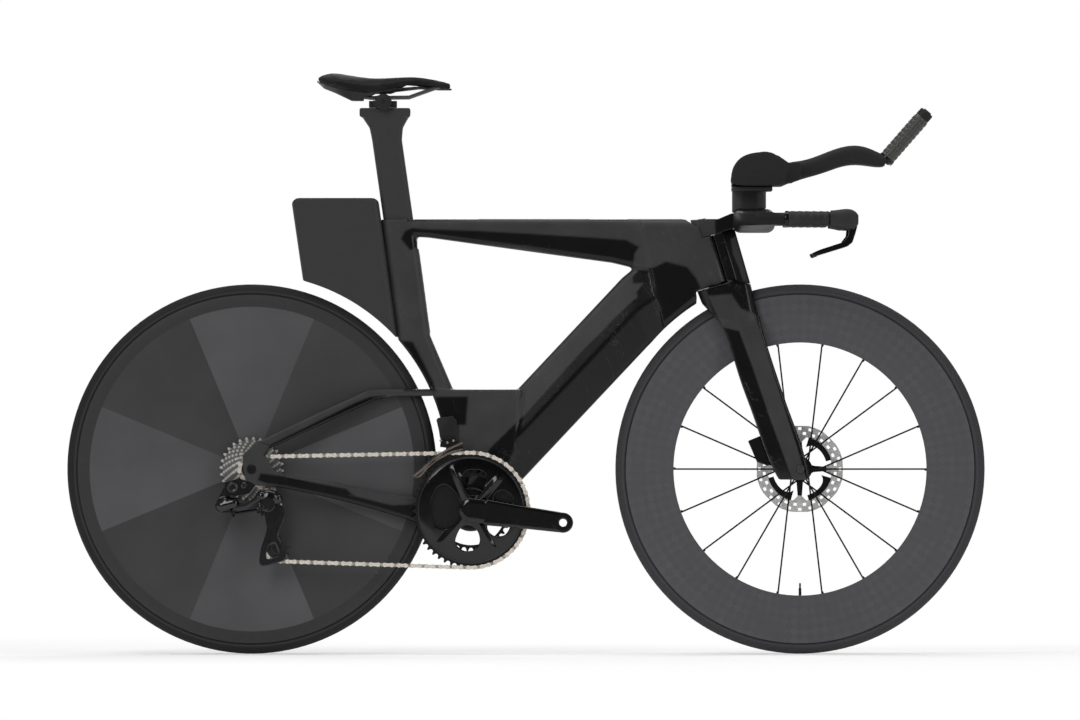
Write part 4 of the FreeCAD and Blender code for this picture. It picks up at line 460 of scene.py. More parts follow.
@dataclass(frozen=True)
class PlatedSteel(Finish):
    """Pressed steel with a plating: bright, with dark oily stains and small scuffs, and painted shade in that
    dark where the piece's attribute is set.
    """

    oil_and_shade: str = "#3A3632"
    scuff: float = 3 * MM

    def pattern(self, tree: Tree) -> Links:
        """Oily stains and scuffs, with painted shade where the piece's attribute is high."""
        place = add_node(tree, "TexCoord")["Object"]
        tone_and_shade = add_node(tree, "Attribute", attribute_name="tone_and_shade")["Fac"]
        stain = add_node(tree, "TexNoise", {"Vector": place, "Scale": 1 / self.scuff, "Detail": 5.0,
                                            "Roughness": 0.65})["Fac"]
        share = add_node(tree, "MapRange", {0: stain, 1: 0.5, 2: 0.72, 3: 0.0, 4: 0.6})[0]
        # Painted shade: the attribute adds half a share of the dark on a chain's recessed inner links.
        share = add_node(tree, "Math", {0: tone_and_shade, 1: 0.5, 2: share}, operation="MULTIPLY_ADD")[0]
        base = add_node(tree, "Mix", {0: share, 6: linear(self.colour), 7: linear(self.oil_and_shade)},
                        data_type="RGBA")[2]
        gloss = add_node(tree, "MapRange", {0: stain, **NOISE_SPAN, 3: self.roughness - 0.08,
                                            4: self.roughness + 0.12})[0]
        return {"Base Color": base, "Roughness": gloss}


@dataclass(frozen=True)
class SprocketSteel(Finish):
    """Nickel plated steel sprockets with ground faces: each has its own grey and painted shade below its
    teeth, so their teeth stand out.
    """

    centre: Vector = REAR_AXLE
    first: float = 63 * MM
    pitch: float = 3.5 * MM
    last: int = 11
    steep_from: int = 6
    first_root: float = 20.5 * MM
    last_root: float = 42.5 * MM
    steep_by: float = 11 * MM
    ring: float = 0.8 * MM

    def pattern(self, tree: Tree) -> Links:
        """Bright teeth, a grey for each sprocket, painted shade below its teeth and grinding rings."""
        _, radius, across = polar(tree, self.centre)
        which = add_node(tree, "Math", {0: across, 1: 1 / self.pitch, 2: self.first / self.pitch},
                         operation="MULTIPLY_ADD")[0]
        which = add_node(tree, "Math", {0: which}, operation="ROUND")[0]
        root = add_node(tree, "MapRange", {0: which, 2: self.last, 3: self.first_root, 4: self.last_root})[0]
        more = add_node(tree, "MapRange", {0: which, 1: self.steep_from, 2: self.last, 4: self.steep_by})[0]
        root = add_node(tree, "Math", {0: root, 1: more}, operation="ADD")[0]
        above = add_node(tree, "Math", {0: radius, 1: root}, operation="SUBTRACT")[0]
        # Painted shade: each sprocket darker below the roots of its teeth, where the smaller sprocket in
        # front shades it.
        shade_below_teeth = add_node(tree, "MapRange", {0: above, 1: -1.0 * MM, 2: 1.6 * MM, 3: 0.3, 4: 1.0})[0]
        own = add_node(tree, "TexWhiteNoise", {"W": which}, noise_dimensions="1D")["Value"]
        shade = add_node(tree, "MapRange", {0: own, 3: 0.8, 4: 1.1})[0]
        shade = add_node(tree, "Math", {0: shade, 1: shade_below_teeth}, operation="MULTIPLY")[0]
        base = add_node(tree, "VectorMath", {0: linear(self.colour)[:3], 3: shade}, operation="SCALE")[0]
        rings = add_node(tree, "TexNoise", {"W": radius, "Scale": 1 / self.ring, "Detail": 2.0},
                         noise_dimensions="1D")[0]
        gloss = add_node(tree, "MapRange", {0: rings, **NOISE_SPAN, 3: self.roughness - 0.08,
                                            4: self.roughness + 0.12})[0]
        return {"Base Color": base, "Roughness": gloss}


@dataclass(frozen=True)
class AnodisedAlloy(Finish):
    """Aluminium, bead blasted and anodised black: an even grain that softens every highlight."""

    grain: float = 0.8 * MM

    def pattern(self, tree: Tree) -> Links:
        """Blasted grain."""
        place = add_node(tree, "TexCoord")["Object"]
        grit = add_node(tree, "TexNoise", {"Vector": place, "Scale": 1 / self.grain, "Detail": 2.0})[0]
        shade = add_node(tree, "MapRange", {0: grit, **NOISE_SPAN, 3: 0.8, 4: 1.2})[0]
        base = add_node(tree, "VectorMath", {0: linear(self.colour)[:3], 3: shade}, operation="SCALE")[0]
        gloss = add_node(tree, "MapRange", {0: grit, **NOISE_SPAN, 3: self.roughness - 0.05,
                                            4: self.roughness + 0.08})[0]
        bump = add_node(tree, "Bump", {"Strength": 0.08, "Distance": 0.05 * MM, "Height": grit})[0]
        return {"Base Color": base, "Roughness": gloss, "Normal": bump}


@dataclass(frozen=True)
class MouldedPlastic(Finish):
    """Glass filled nylon from a spark eroded mould: dark, with a fine even pebble."""

    pebble: float = 1.1 * MM
    flow_size: float = 22 * MM

    def pattern(self, tree: Tree) -> Links:
        """Pebble of the mould and flow marks."""
        place = add_node(tree, "TexCoord")["Object"]
        cells = add_node(tree, "TexVoronoi", {"Vector": place, "Scale": 1 / self.pebble})["Distance"]
        flow = add_node(tree, "TexNoise", {"Vector": place, "Scale": 1 / self.flow_size, "Detail": 3.0})[0]
        shade = add_node(tree, "MapRange", {0: flow, **NOISE_SPAN, 3: 0.85, 4: 1.2})[0]
        base = add_node(tree, "VectorMath", {0: linear(self.colour)[:3], 3: shade}, operation="SCALE")[0]
        gloss = add_node(tree, "MapRange", {0: flow, **NOISE_SPAN, 3: self.roughness - 0.06,
                                            4: self.roughness + 0.08})[0]
        bump = add_node(tree, "Bump", {"Strength": 0.2, "Distance": 0.08 * MM, "Height": cells})[0]
        return {"Base Color": base, "Roughness": gloss, "Normal": bump}


@dataclass(frozen=True)
class GrainedSkin(Finish):
    """Microfibre skin over foam: a dense leather grain, matt, paler where hands and shorts rub it."""

    grain: float = 2.2 * MM
    rubbed: str = "#3C3C3D"
    rub_size: float = 40 * MM

    def pattern(self, tree: Tree) -> Links:
        """Leather cells with painted shade in their creases, and rubbed patches."""
        place = add_node(tree, "TexCoord")["Object"]
        cells = add_node(tree, "TexVoronoi", {"Vector": place, "Scale": 1 / self.grain},
                         feature="DISTANCE_TO_EDGE")["Distance"]
        crease = add_node(tree, "MapRange", {0: cells, 1: 0.0, 2: 0.12})[0]
        rub = add_node(tree, "TexNoise", {"Vector": place, "Scale": 1 / self.rub_size, "Detail": 4.0})[0]
        share = add_node(tree, "MapRange", {0: rub, 1: 0.45, 2: 0.7, 3: 0.0, 4: 0.5})[0]
        base = add_node(tree, "Mix", {0: share, 6: linear(self.colour), 7: linear(self.rubbed)},
                        data_type="RGBA")[2]
        # Painted shade: darker in the creases between the leather's cells.
        shade = add_node(tree, "MapRange", {0: crease, 3: 0.7, 4: 1.05})[0]
        base = add_node(tree, "VectorMath", {0: base, 3: shade}, operation="SCALE")[0]
        bump = add_node(tree, "Bump", {"Strength": 0.35, "Distance": 0.2 * MM, "Height": crease})[0]
        return {"Base Color": base, "Normal": bump}


@dataclass(frozen=True)
class BrushedCloth(Finish):
    """Brushed nylon laminated to foam: a soft black nap over a knit that just shows.

    The real knit has 1 mm loops. They are drawn 2 mm wide, because finer ones don't show at this size.
    """

    loop: float = 2.0 * MM
    nap_size: float = 0.7 * MM

    def pattern(self, tree: Tree) -> Links:
        """Knit loops and nap, with colour that follows their height: paler on top and darker in the dips, as
        painted light.
        """
        place = add_node(tree, "TexCoord")["Object"]
        rate = 1 / self.loop / 6.28 * 2
        rows = add_node(tree, "TexWave", {"Vector": place, "Scale": rate, "Distortion": 1.5,
                                          "Detail": 2.0}, bands_direction="Y")["Fac"]
        nap = add_node(tree, "TexNoise", {"Vector": place, "Scale": 1 / self.nap_size, "Detail": 2.0})[0]
        height = add_node(tree, "Math", {0: rows, 1: nap}, operation="ADD")[0]
        # Painted light on the knit: paler where it stands high, darker in its dips.
        shade = add_node(tree, "MapRange", {0: height, 1: 0.3, 2: 1.6, 3: 0.75, 4: 1.3})[0]
        base = add_node(tree, "VectorMath", {0: linear(self.colour)[:3], 3: shade}, operation="SCALE")[0]
        bump = add_node(tree, "Bump", {"Strength": 0.5, "Distance": 0.3 * MM, "Height": height})[0]
        return {"Base Color": base, "Normal": bump}


@dataclass(frozen=True)
class TackyRubber(Finish):
    """Soft moulded rubber: dull, with small dimples that hold a bare hand."""

    dimple: float = 2.6 * MM
    wear_size: float = 15 * MM

    def pattern(self, tree: Tree) -> Links:
        """Dimples and finger wear."""
        place = add_node(tree, "TexCoord")["Object"]
        dots = add_node(tree, "TexVoronoi", {"Vector": place, "Scale": 1 / self.dimple, "Randomness": 0.15})
        pit = add_node(tree, "MapRange", {0: dots["Distance"], 1: 0.12, 2: 0.3})
        wear = add_node(tree, "TexNoise", {"Vector": place, "Scale": 1 / self.wear_size, "Detail": 4.0})[0]
        shade = add_node(tree, "MapRange", {0: wear, **NOISE_SPAN, 3: 0.82, 4: 1.2})[0]
        base = add_node(tree, "VectorMath", {0: linear(self.colour)[:3], 3: shade}, operation="SCALE")[0]
        bump = add_node(tree, "Bump", {"Strength": 0.3, "Distance": 0.2 * MM, "Height": pit[0]})
        return {"Base Color": base, "Normal": bump[0]}


@dataclass(frozen=True)
class SinteredLining(Finish):
    """Sintered metal lining: a rough brown grey crumb with bright grains."""

    crumb: float = 0.9 * MM
    grain: str = "#8A7F70"

    def pattern(self, tree: Tree) -> Links:
        """Crumb and bright grains."""
        place = add_node(tree, "TexCoord")["Object"]
        chips = add_node(tree, "TexVoronoi", {"Vector": place, "Scale": 1 / self.crumb})
        grey = add_node(tree, "SeparateColor", {0: chips["Color"]})[0]
        share = add_node(tree, "MapRange", {0: grey, 1: 0.6, 2: 1.0, 3: 0.0, 4: 0.8})[0]
        base = add_node(tree, "Mix", {0: share, 6: linear(self.colour), 7: linear(self.grain)},
                        data_type="RGBA")[2]
        bump = add_node(tree, "Bump", {"Strength": 0.5, "Distance": 0.2 * MM, "Height": grey})[0]
        return {"Base Color": base, "Normal": bump}


FRAME_PAINT = PaintedCarbon("Painted carbon, satin clear coat", "carbon_frame", "#383838", 0.4, specular=0.3)
BARE_CARBON = MouldedCarbon("Moulded carbon, bare", "carbon_frame", "#3A3A3A", 0.5, specular=0.2)
BAR_CARBON = MouldedCarbon("Moulded carbon, satin black", "carbon_frame", "#232324", 0.5, specular=0.1,
                           fleck="#2D2D2F")
CUP_CARBON = MouldedCarbon("Moulded carbon, matt charcoal", "carbon_frame", "#2B2B2C", 0.58, specular=0.12,
                           fleck="#343436")
GLOSS_CARBON = GlossLacquer("Lacquered carbon, black", "carbon_gloss", "#060606", 0.16, specular=0.3)
GLOSS_ALLOY = GlossLacquer("Aluminium, polished and anodised black", "black_alloy", "#060606", 0.13,
                           specular=0.46)
DISC_CARBON = SectorCarbon("Unidirectional carbon, sectors", "carbon_wheel", "#404041", 0.42, specular=0.25)
RIM_CARBON = WovenCarbon("Woven carbon, clear coat", "carbon_wheel", "#525255", 0.38, specular=0.25,
                         light="#5E5E61")
REAR_RIM_CARBON = WovenCarbon("Woven carbon, rear hoop", "carbon_wheel", "#363637", 0.42, specular=0.25,
                              centre=REAR_AXLE, light="#3A3A3B")
FRONT_RUBBER = TyreRubber("Vulcanised rubber, front", "tyre", "#373739", 0.72, specular=0.2, wall="#4B4B4E")
REAR_RUBBER = TyreRubber("Vulcanised rubber, rear", "tyre", "#232324", 0.72, specular=0.2, centre=REAR_AXLE)
FRONT_STEEL = TurnedSteel("Stainless steel, ring ground, front", "steel", "#DEDEDD", 0.44, 1.0,
                          centre=FRONT_AXLE)
REAR_STEEL = TurnedSteel("Stainless steel, ring ground, rear", "steel", "#DEDEDD", 0.44, 1.0)
SPROCKET_STEEL = SprocketSteel("Nickel plated steel", "steel", "#E2E0DC", 0.42, 1.0)
CHAIN_STEEL = PlatedSteel("Plated chain steel", "chain_steel", "#EFE6DB", 0.5, 0.6)
CAGE_STEEL = PlatedSteel("Plated cage steel", "steel", "#A79A90", 0.24, 1.0)
CLAMP_ALLOY = AnodisedAlloy("Aluminium, blasted and anodised grey", "black_alloy", "#2A2A2B", 0.5, 0.1,
                            specular=0.2)
LINK_ALLOY = AnodisedAlloy("Aluminium, anodised grey", "black_alloy", "#3A3A3C", 0.28, 0.8)
RING_ALLOY = AnodisedAlloy("Aluminium ring, anodised black", "black_alloy", "#161617", 0.3, 0.2, specular=0.4)
BOLT_STEEL = PlatedSteel("Zinc plated bolt steel", "steel", "#7E7E7C", 0.3, 1.0)
BLACK_ALLOY = AnodisedAlloy("Aluminium, blasted and anodised black", "black_alloy", "#101011", 0.38, 0.3,
                            specular=0.3)
DARK_PLASTIC = MouldedPlastic("Glass filled nylon", "black_plastic", "#1E1E20", 0.36, specular=0.35)
MECH_PLASTIC = GlossLacquer("Painted alloy, dark gloss", "black_plastic", "#0B0B0C", 0.16, specular=0.6)
SADDLE_SKIN = GrainedSkin("Microfibre saddle skin", "saddle_skin", "#1C1C1D", 0.62, specular=0.14)
PAD_CLOTH = BrushedCloth("Brushed nylon on foam", "pad_foam", "#1A1A1B", 0.85, specular=0.2, sheen=0.15)
TAPE_RUBBER = TackyRubber("Handlebar tape, embossed", "grip_rubber", "#2B2B2A", 0.55, specular=0.25)
GRIP_RUBBER = MouldedPlastic("Moulded grip rubber", "grip_rubber", "#434341", 0.36, specular=0.4)
HOOD_RUBBER = TackyRubber("Silicone rubber", "grip_rubber", "#303031", 0.6, specular=0.25)
RAIL_CARBON = GlossLacquer("Braided carbon rail, lacquered", "rail_carbon", "#3C3C3E", 0.2, specular=0.7)
LINING = SinteredLining("Sintered lining", "brake_lining", "#3A322B", 0.8)


def solid_copy(node: str) -> Mesh:
    """Welded copy of a solid's mesh.

    Args:
        node: Name of the solid.

    Returns:
        A mesh whose triangles share their corners.
    """
    mesh = bmesh.new()
    mesh.from_mesh(NODES[node].data)
    bmesh.ops.remove_doubles(mesh, verts=mesh.verts, dist=WELD)
    return mesh


def to_piece(name: str, mesh: Mesh | bpy.types.Mesh, finish: Finish, body: str, *nodes: str,
             crisp: bool = False) -> Piece:
    """Makes a shown piece that rides on a body.

    Args:
        name: Name of the piece.
        mesh: Its shape, in the frame of the solids.
        finish: Its surface.
        body: Body that carries it.
        nodes: Solids that it stands for.
        crisp: Whether its edges stay sharp.

    Returns:
        The piece.
    """
    if isinstance(mesh, Mesh):
        data = bpy.data.meshes.new(name)
        mesh.to_mesh(data)
        mesh.free()
    else:
        data = mesh
        data.name = name
    data.materials.clear()
    data.materials.append(finish.material())
    data.polygons.foreach_set("use_smooth", [True] * len(data.polygons))
    piece = bpy.data.objects.new(name, data)
    bpy.context.scene.collection.objects.link(piece)
    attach(piece, body)
    if nodes:
        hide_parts(*nodes)
    if crisp:
        add_creases(piece)
    return piece


def add_creases(piece: Piece, angle: float = 32.0) -> None:
    """Keeps the edges of a smooth shaded piece crisp where they turn by more than an angle in degrees."""
    split = piece.modifiers.new("creases", "EDGE_SPLIT")
    split.split_angle = math.radians(angle)


def dress(finish: Finish, *nodes: str) -> None:
    """Gives solids that stay a finish and smooth shading between crisp edges.

    Args:
        finish: Their surface.
        nodes: Names of the solids.
    """
    for node in nodes:
        solid = NODES[node]
        solid.data.materials.clear()
        solid.data.materials.append(finish.material())
        solid.data.polygons.foreach_set("use_smooth", [True] * len(solid.data.polygons))
        weld = solid.modifiers.new("weld", "WELD")
        weld.merge_threshold = WELD
        add_creases(solid)


def remeshed(blank: Mesh, voxel: float, rounds: int) -> bpy.types.Mesh:
    """Skin over a mesh, with every edge rounded.

    Args:
        blank: Closed shapes, which may overlap. They are used up.
        voxel: Size of the remesh, in metres.
        rounds: Number of smoothing steps.

    Returns:
        One closed skin.
    """
    data = bpy.data.meshes.new("blank")
    blank.to_mesh(data)
    blank.free()
    holder = bpy.data.objects.new("blank", data)
    bpy.context.scene.collection.objects.link(holder)
    remesh = holder.modifiers.new("voxels", "REMESH")
    remesh.mode, remesh.voxel_size, remesh.use_smooth_shade = "VOXEL", voxel, True
    smooth = holder.modifiers.new("soften", "SMOOTH")
    smooth.factor, smooth.iterations = 0.5, rounds
    skin = bpy.data.meshes.new_from_object(holder.evaluated_get(bpy.context.evaluated_depsgraph_get()))
    bpy.data.objects.remove(holder)
    bpy.data.meshes.remove(data)
    return skin


def moulded(node: str, finish: Finish, voxel: float, rounds: int, blank: Mesh | None = None,
            name: str = "") -> Piece:
    """Skin of a moulded piece: a blank, remeshed and smoothed so that its edges are round.

    Args:
        node: Solid that the skin stands for.
        finish: Its surface.
        voxel: Size of the remesh, in metres.
        rounds: Number of smoothing steps.
        blank: Closed shapes to cover, or none for a copy of the solid.
        name: Name of the piece, or none for one after the solid.

    Returns:
        The piece.
    """
    skin = remeshed(blank or solid_copy(node), voxel, rounds)
    return to_piece(name or f"{node}_skin", skin, finish, NODES[node]["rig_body"], node)


def islands(mesh: Mesh) -> Iterator[list[bmesh.types.BMVert]]:
    """Corners of each connected part of a mesh, in the same order at each run."""
    seen = set()
    for first in mesh.verts:
        if first in seen:
            continue
        seen.add(first)
        part = [first]
        for corner in part:
            near = [edge.other_vert(corner) for edge in corner.link_edges]
            fresh = [vert for vert in near if vert not in seen]
            seen.update(fresh)
            part += fresh
        yield part


def puffed(node: str, finish: Finish, voxel: float, swell: float, fill: float) -> Piece:
    """Padded piece: its solid, drawn in a little and then blown up as cloth under pressure.

    Args:
        node: Solid that the piece stands for.
        finish: Its surface.
        voxel: Size of the remesh, in metres.
        swell: Farthest that a point may move outwards.
        fill: How tight the piece is, from 0 to 1; not used.

    Returns:
        The piece.
    """
    skin = remeshed(solid_copy(node), voxel, PAD_ROUNDS)
    drawn = [vert.co - vert.normal * swell * 0.5 for vert in skin.vertices]
    skin.vertices.foreach_set("co", [value for point in drawn for value in point])
    blow_up(skin, drawn, swell)
    piece = to_piece(f"{node}_skin", skin, finish, NODES[node]["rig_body"], node)
    finer = piece.modifiers.new("finer", "SUBSURF")
    finer.levels = finer.render_levels = 1
    return piece


def blow_up(skin: bpy.types.Mesh, start: list[Vector], swell: float) -> None:
    """Runs the cloth simulation of a padded piece and keeps its result in the mesh.

    Args:
        skin: Mesh to blow up.
        start: Its points before that.
        swell: Farthest that a point may move.
    """
    scene = bpy.context.scene
    holder = bpy.data.objects.new("pad", skin.copy())
    scene.collection.objects.link(holder)
    cloth = holder.modifiers.new("cloth", "CLOTH")
    cloth.settings.use_pressure, cloth.settings.uniform_pressure_force = True, CLOTH_PRESSURE
    cloth.settings.effector_weights.gravity = 0.0
    cloth.collision_settings.use_collision = cloth.collision_settings.use_self_collision = False
    cloth.point_cache.frame_end = CLOTH_FRAMES
    for frame_number in range(1, CLOTH_FRAMES + 1):
        scene.frame_set(frame_number)
    blown = holder.evaluated_get(bpy.context.evaluated_depsgraph_get()).data
    moves = [vert.co - point for vert, point in zip(blown.vertices, start)]
    kept = [point + move * min(1.0, swell / max(move.length, 1e-9)) for point, move in zip(start, moves)]
    log.info("cloth: points moved %.1f mm at most", max(move.length for move in moves) / MM)
    data = holder.data
    bpy.data.objects.remove(holder)
    bpy.data.meshes.remove(data)
    skin.vertices.foreach_set("co", [value for point in kept for value in point])
    scene.frame_set(1)


def add_loop(mesh: Mesh, corners: list[Vector], rounds: int = 0) -> Edges:
    """Closed loop of edges through corners, which are rounded by smoothing.

    Args:
        mesh: Mesh that gets the loop.
        corners: Its corners in order.
        rounds: Number of smoothing steps.

    Returns:
        The edges of the loop.
    """
    verts = [mesh.verts.new(corner) for corner in corners]
    edges = [mesh.edges.new(pair) for pair in zip(verts, verts[1:] + verts[:1])]
    if rounds:
        split = bmesh.ops.subdivide_edges(mesh, edges=edges, cuts=4)
        edges = [item for item in split["geom"] if isinstance(item, bmesh.types.BMEdge)]
        verts = list(dict.fromkeys(vert for edge in edges for vert in edge.verts))
        for _ in range(rounds):
            bmesh.ops.smooth_vert(mesh, verts=verts, factor=0.5, use_axis_x=True, use_axis_y=True,
                                  use_axis_z=True)
    return edges


def fill_loops(mesh: Mesh, edges: Edges, depth: Vector) -> None:
    """Flat face between closed loops, drawn out to a plate.

    Args:
        mesh: Mesh that holds the loops.
        edges: Edges of the outer loop and of the windows in it.
        depth: Way from one face of the plate to the other.
    """
    faces = [item for item in bmesh.ops.triangle_fill(mesh, use_beauty=True, edges=edges)["geom"]
             if isinstance(item, bmesh.types.BMFace)]
    grown = bmesh.ops.extrude_face_region(mesh, geom=faces, use_keep_orig=True)["geom"]
    moved = [item for item in grown if isinstance(item, bmesh.types.BMVert)]
    bmesh.ops.translate(mesh, verts=moved, vec=depth)
    bmesh.ops.recalc_face_normals(mesh, faces=mesh.faces)


def add_plate(mesh: Mesh, outlines: list[tuple[Pixel, ...]], near: float, far: float,
              rounds: int = 2) -> None:
    """Flat plate across the bike, with windows.

    Args:
        mesh: Mesh that gets the plate.
        outlines: Pixels of its edge, then of each window.
        near: Place across of one face.
        far: Place across of the other face.
        rounds: Smoothing steps of the outlines.
    """
    edges = []
    for outline in outlines:
        edges += add_loop(mesh, [spot(pixel, near) for pixel in outline], rounds)
    fill_loops(mesh, edges, ACROSS * (far - near))


def cut_off(mesh: Mesh, place: Vector, outward: Vector) -> None:
    """Cuts a closed mesh with a plane and closes the cut.

    Args:
        mesh: Mesh to cut.
        place: Point on the plane.
        outward: Direction of the side that goes.
    """
    everything = [*mesh.verts, *mesh.edges, *mesh.faces]
    bmesh.ops.bisect_plane(mesh, geom=everything, plane_co=place, plane_no=outward, clear_outer=True)
    bmesh.ops.holes_fill(mesh, edges=[edge for edge in mesh.edges if edge.is_boundary])


def aimed(place: Vector, direction: Vector, axis: str = "Z") -> Matrix:
    """Frame at a place, with one of its axes turned to a direction."""
    return Matrix.Translation(place) @ direction.to_track_quat(axis, "Y").to_matrix().to_4x4()


def add_blob(mesh: Mesh, centre: Vector, radii: tuple[float, float, float], tilt: float = 0.0) -> None:
    """Egg shaped mass, to be joined by a remesh.

    Args:
        mesh: Mesh that gets the mass.
        centre: Its middle.
        radii: Half its length, width and height.
        tilt: Turn about the axis across, in degrees.
    """
    turn = Matrix.Rotation(math.radians(tilt), 4, "Y")
    place = Matrix.Translation(centre) @ turn @ Matrix.Diagonal((*radii, 1))
    bmesh.ops.create_uvsphere(mesh, u_segments=28, v_segments=18, radius=1, matrix=place)


def add_rod(mesh: Mesh, points: list[Vector], radius: float) -> None:
    """Round rod through points, with round ends, to be joined by a remesh.

    Args:
        mesh: Mesh that gets the rod.
        points: Its middle line.
        radius: Its radius.
    """
    round_rod = {"radius1": radius, "radius2": radius, "segments": ROD_SIDES, "cap_ends": True}
    for start, end in zip(points, points[1:]):
        run = end - start
        bmesh.ops.create_cone(mesh, depth=run.length, matrix=aimed((start + end) / 2, run), **round_rod)
    for point in points:
        bmesh.ops.create_uvsphere(mesh, u_segments=ROD_SIDES, v_segments=12, radius=radius,
                                  matrix=Matrix.Translation(point))


def turned(profile: list[tuple[float, float]], centre: Vector, axis: Vector, steps: int,
           mesh: Mesh | None = None) -> Mesh:
    """Shape turned on a lathe.

    Args:
        profile: Pairs of radius and distance along the axis, in metres.
        centre: Origin on the axis.
        axis: Direction of the axis.
        steps: Number of sides.
        mesh: Mesh that gets the shape, or none for a new one.

    Returns:
        The mesh.
    """
    mesh = mesh or bmesh.new()
    axis = axis.normalized()
    out = axis.orthogonal().normalized()
    corners = [mesh.verts.new(centre + out * radius + axis * along) for radius, along in profile]
    edges = [mesh.edges.new(pair) for pair in zip(corners, corners[1:])]
    bmesh.ops.spin(mesh, geom=corners + edges, cent=centre, axis=axis, angle=math.tau, steps=steps,
                   use_merge=True)
    bmesh.ops.remove_doubles(mesh, verts=mesh.verts, dist=FINE_WELD)
    bmesh.ops.recalc_face_normals(mesh, faces=mesh.faces)
    return mesh


def axle_caps(name: str, axle: Vector, face: float, radius: float, body: str,
              sides: tuple[int, ...] = SIDES) -> Piece:
    """Round caps with a socket on the ends of an axle.

    Args:
        name: Name of the piece.
        axle: Point on the axle, midway.
        face: Distance of the caps' seats from there.
        radius: Their radius.
        body: Body that carries them.
        sides: Ends that have a cap.

    Returns:
        The piece.
    """
    mesh = bmesh.new()
    profile = [(0, 0.4 * MM), (3.2 * MM, 0.4 * MM), (3.2 * MM, 2.2 * MM), (radius - 1.2 * MM, 2.6 * MM),
               (radius, 1.6 * MM), (radius, -0.2 * MM)]
    for side in sides:
        turned(profile, axle + ACROSS * side * face, ACROSS * side, steps=32, mesh=mesh)
    return to_piece(name, mesh, BLACK_ALLOY, body, crisp=True)


@dataclass(frozen=True)
class ToneArea:
    """Closed outline on the photograph that is painted dark, or light again, with a soft edge in pixels; some
    are paint, some painted shade and highlights.
    """

    outline: tuple[Pixel, ...]
    dark: bool = True
    soft: float = 1.2

    def depth(self, points: np.ndarray) -> np.ndarray:
        """How far points lie inside the outline.

        Args:
            points: Pixel coordinates, one row each.

        Returns:
            Distance to the outline in pixels, negative outside.
        """
        nearest = np.full(len(points), np.inf)
        inside = np.zeros(len(points), bool)
        corners = np.array(self.outline, float)
        for start, end in zip(corners, np.roll(corners, -1, axis=0)):
            run = end - start
            share = np.clip(((points - start) @ run) / (run @ run), 0, 1)
            nearest = np.minimum(nearest, np.linalg.norm(points - start - share[:, None] * run, axis=1))
            crosses = (points[:, 1] < start[1]) != (points[:, 1] < end[1])
            with np.errstate(divide="ignore", invalid="ignore"):
                at = start[0] + (points[:, 1] - start[1]) * run[0] / run[1]
            inside ^= crosses & (points[:, 0] < at)
        return np.where(inside, nearest, -nearest)


def paint_tones_and_shade(piece: Piece, areas: tuple[ToneArea, ...]) -> None:
    """Writes the dark share of the paint and of the painted shade on a piece's points.

    Args:
        piece: Piece that gets the attribute.
        areas: Outlines, from the first coat to the last.
    """
    data = piece.data
    places = np.zeros(len(data.vertices) * 3)
    data.vertices.foreach_get("co", places)
    places = places.reshape(-1, 3)
    points = np.stack([REAR_AXLE_PIXEL[0] + (places[:, 0] - REAR_AXLE.x) / PIXEL,
                       GROUND_PIXEL - places[:, 2] / PIXEL], axis=1)
    tone_and_shade = np.zeros(len(points))
    for area in areas:
        share = np.clip(area.depth(points) / (2 * area.soft) + 0.5, 0, 1)
        tone_and_shade = tone_and_shade + (1 - tone_and_shade) * share if area.dark else tone_and_shade * (1 - share)
    data.attributes.new("tone_and_shade", "FLOAT", "POINT").data.foreach_set("value", tone_and_shade.astype(np.float32))


# Dark paint of the frame and painted shade: the scoop under the top tube, the down tube's lower facet, the
# darker parts of the stays and the patch round the bottom bracket behind the crank are partly painted shade;
# the two thin strips on the top tube are dark trim.
FRAME_TONES_AND_SHADE = (
    ToneArea(((401, 239), (405, 231), (412, 228), (424, 229), (480, 231), (534, 234), (591, 237.5),
              (626, 240), (639, 247), (634.5, 254), (633, 266), (600, 262), (520, 247), (430, 239),
              (422, 246), (410, 250))),
    ToneArea(((633.6, 299), (614, 318), (576, 357), (526, 413), (490, 448), (470, 480), (471, 531),
              (524, 478), (650, 344), (704, 312), (691.6, 309))),
    ToneArea(((632, 275), (638, 270), (655, 267), (666, 261.5), (687, 267), (696, 278), (701, 289),
              (695.5, 299.5), (691.6, 309), (660, 330), (640, 340), (633.6, 299))),
    ToneArea(((643, 283), (636, 292), (637, 298), (633.5, 299.5), (626, 305), (622, 296), (632, 284)),
             dark=False),
    ToneArea(((399.6, 340), (413, 342), (416, 348), (433, 381), (436, 391), (404, 391))),
    ToneArea(((433, 396), (468, 396), (466, 425), (440, 425))),
    ToneArea(((709, 234), (722, 234), (734, 290), (722, 286))),
    ToneArea(((407, 214), (478, 214), (478, 221.2), (407, 221.2)), soft=0.6),
    ToneArea(((590, 214), (628, 214), (628, 221.2), (590, 221.2)), soft=0.6),
    ToneArea(((432, 478), (500, 476), (516, 494), (505, 540), (470, 556), (436, 545))),
    ToneArea(((264, 455), (271, 444.5), (355, 402.7), (370, 396.8), (386, 395.3), (384, 399.5), (351, 414),
              (272, 456))),
    ToneArea(((261, 473), (285, 476.2), (310, 481.5), (346, 488.5), (355.5, 496), (392, 505), (425, 503.5),
              (425, 530), (396, 518.5), (346, 506), (305, 494.5), (278, 487), (258, 480))),
)
STEM_TONES = (ToneArea(((714, 200), (745, 200), (745, 250), (716, 250))),)
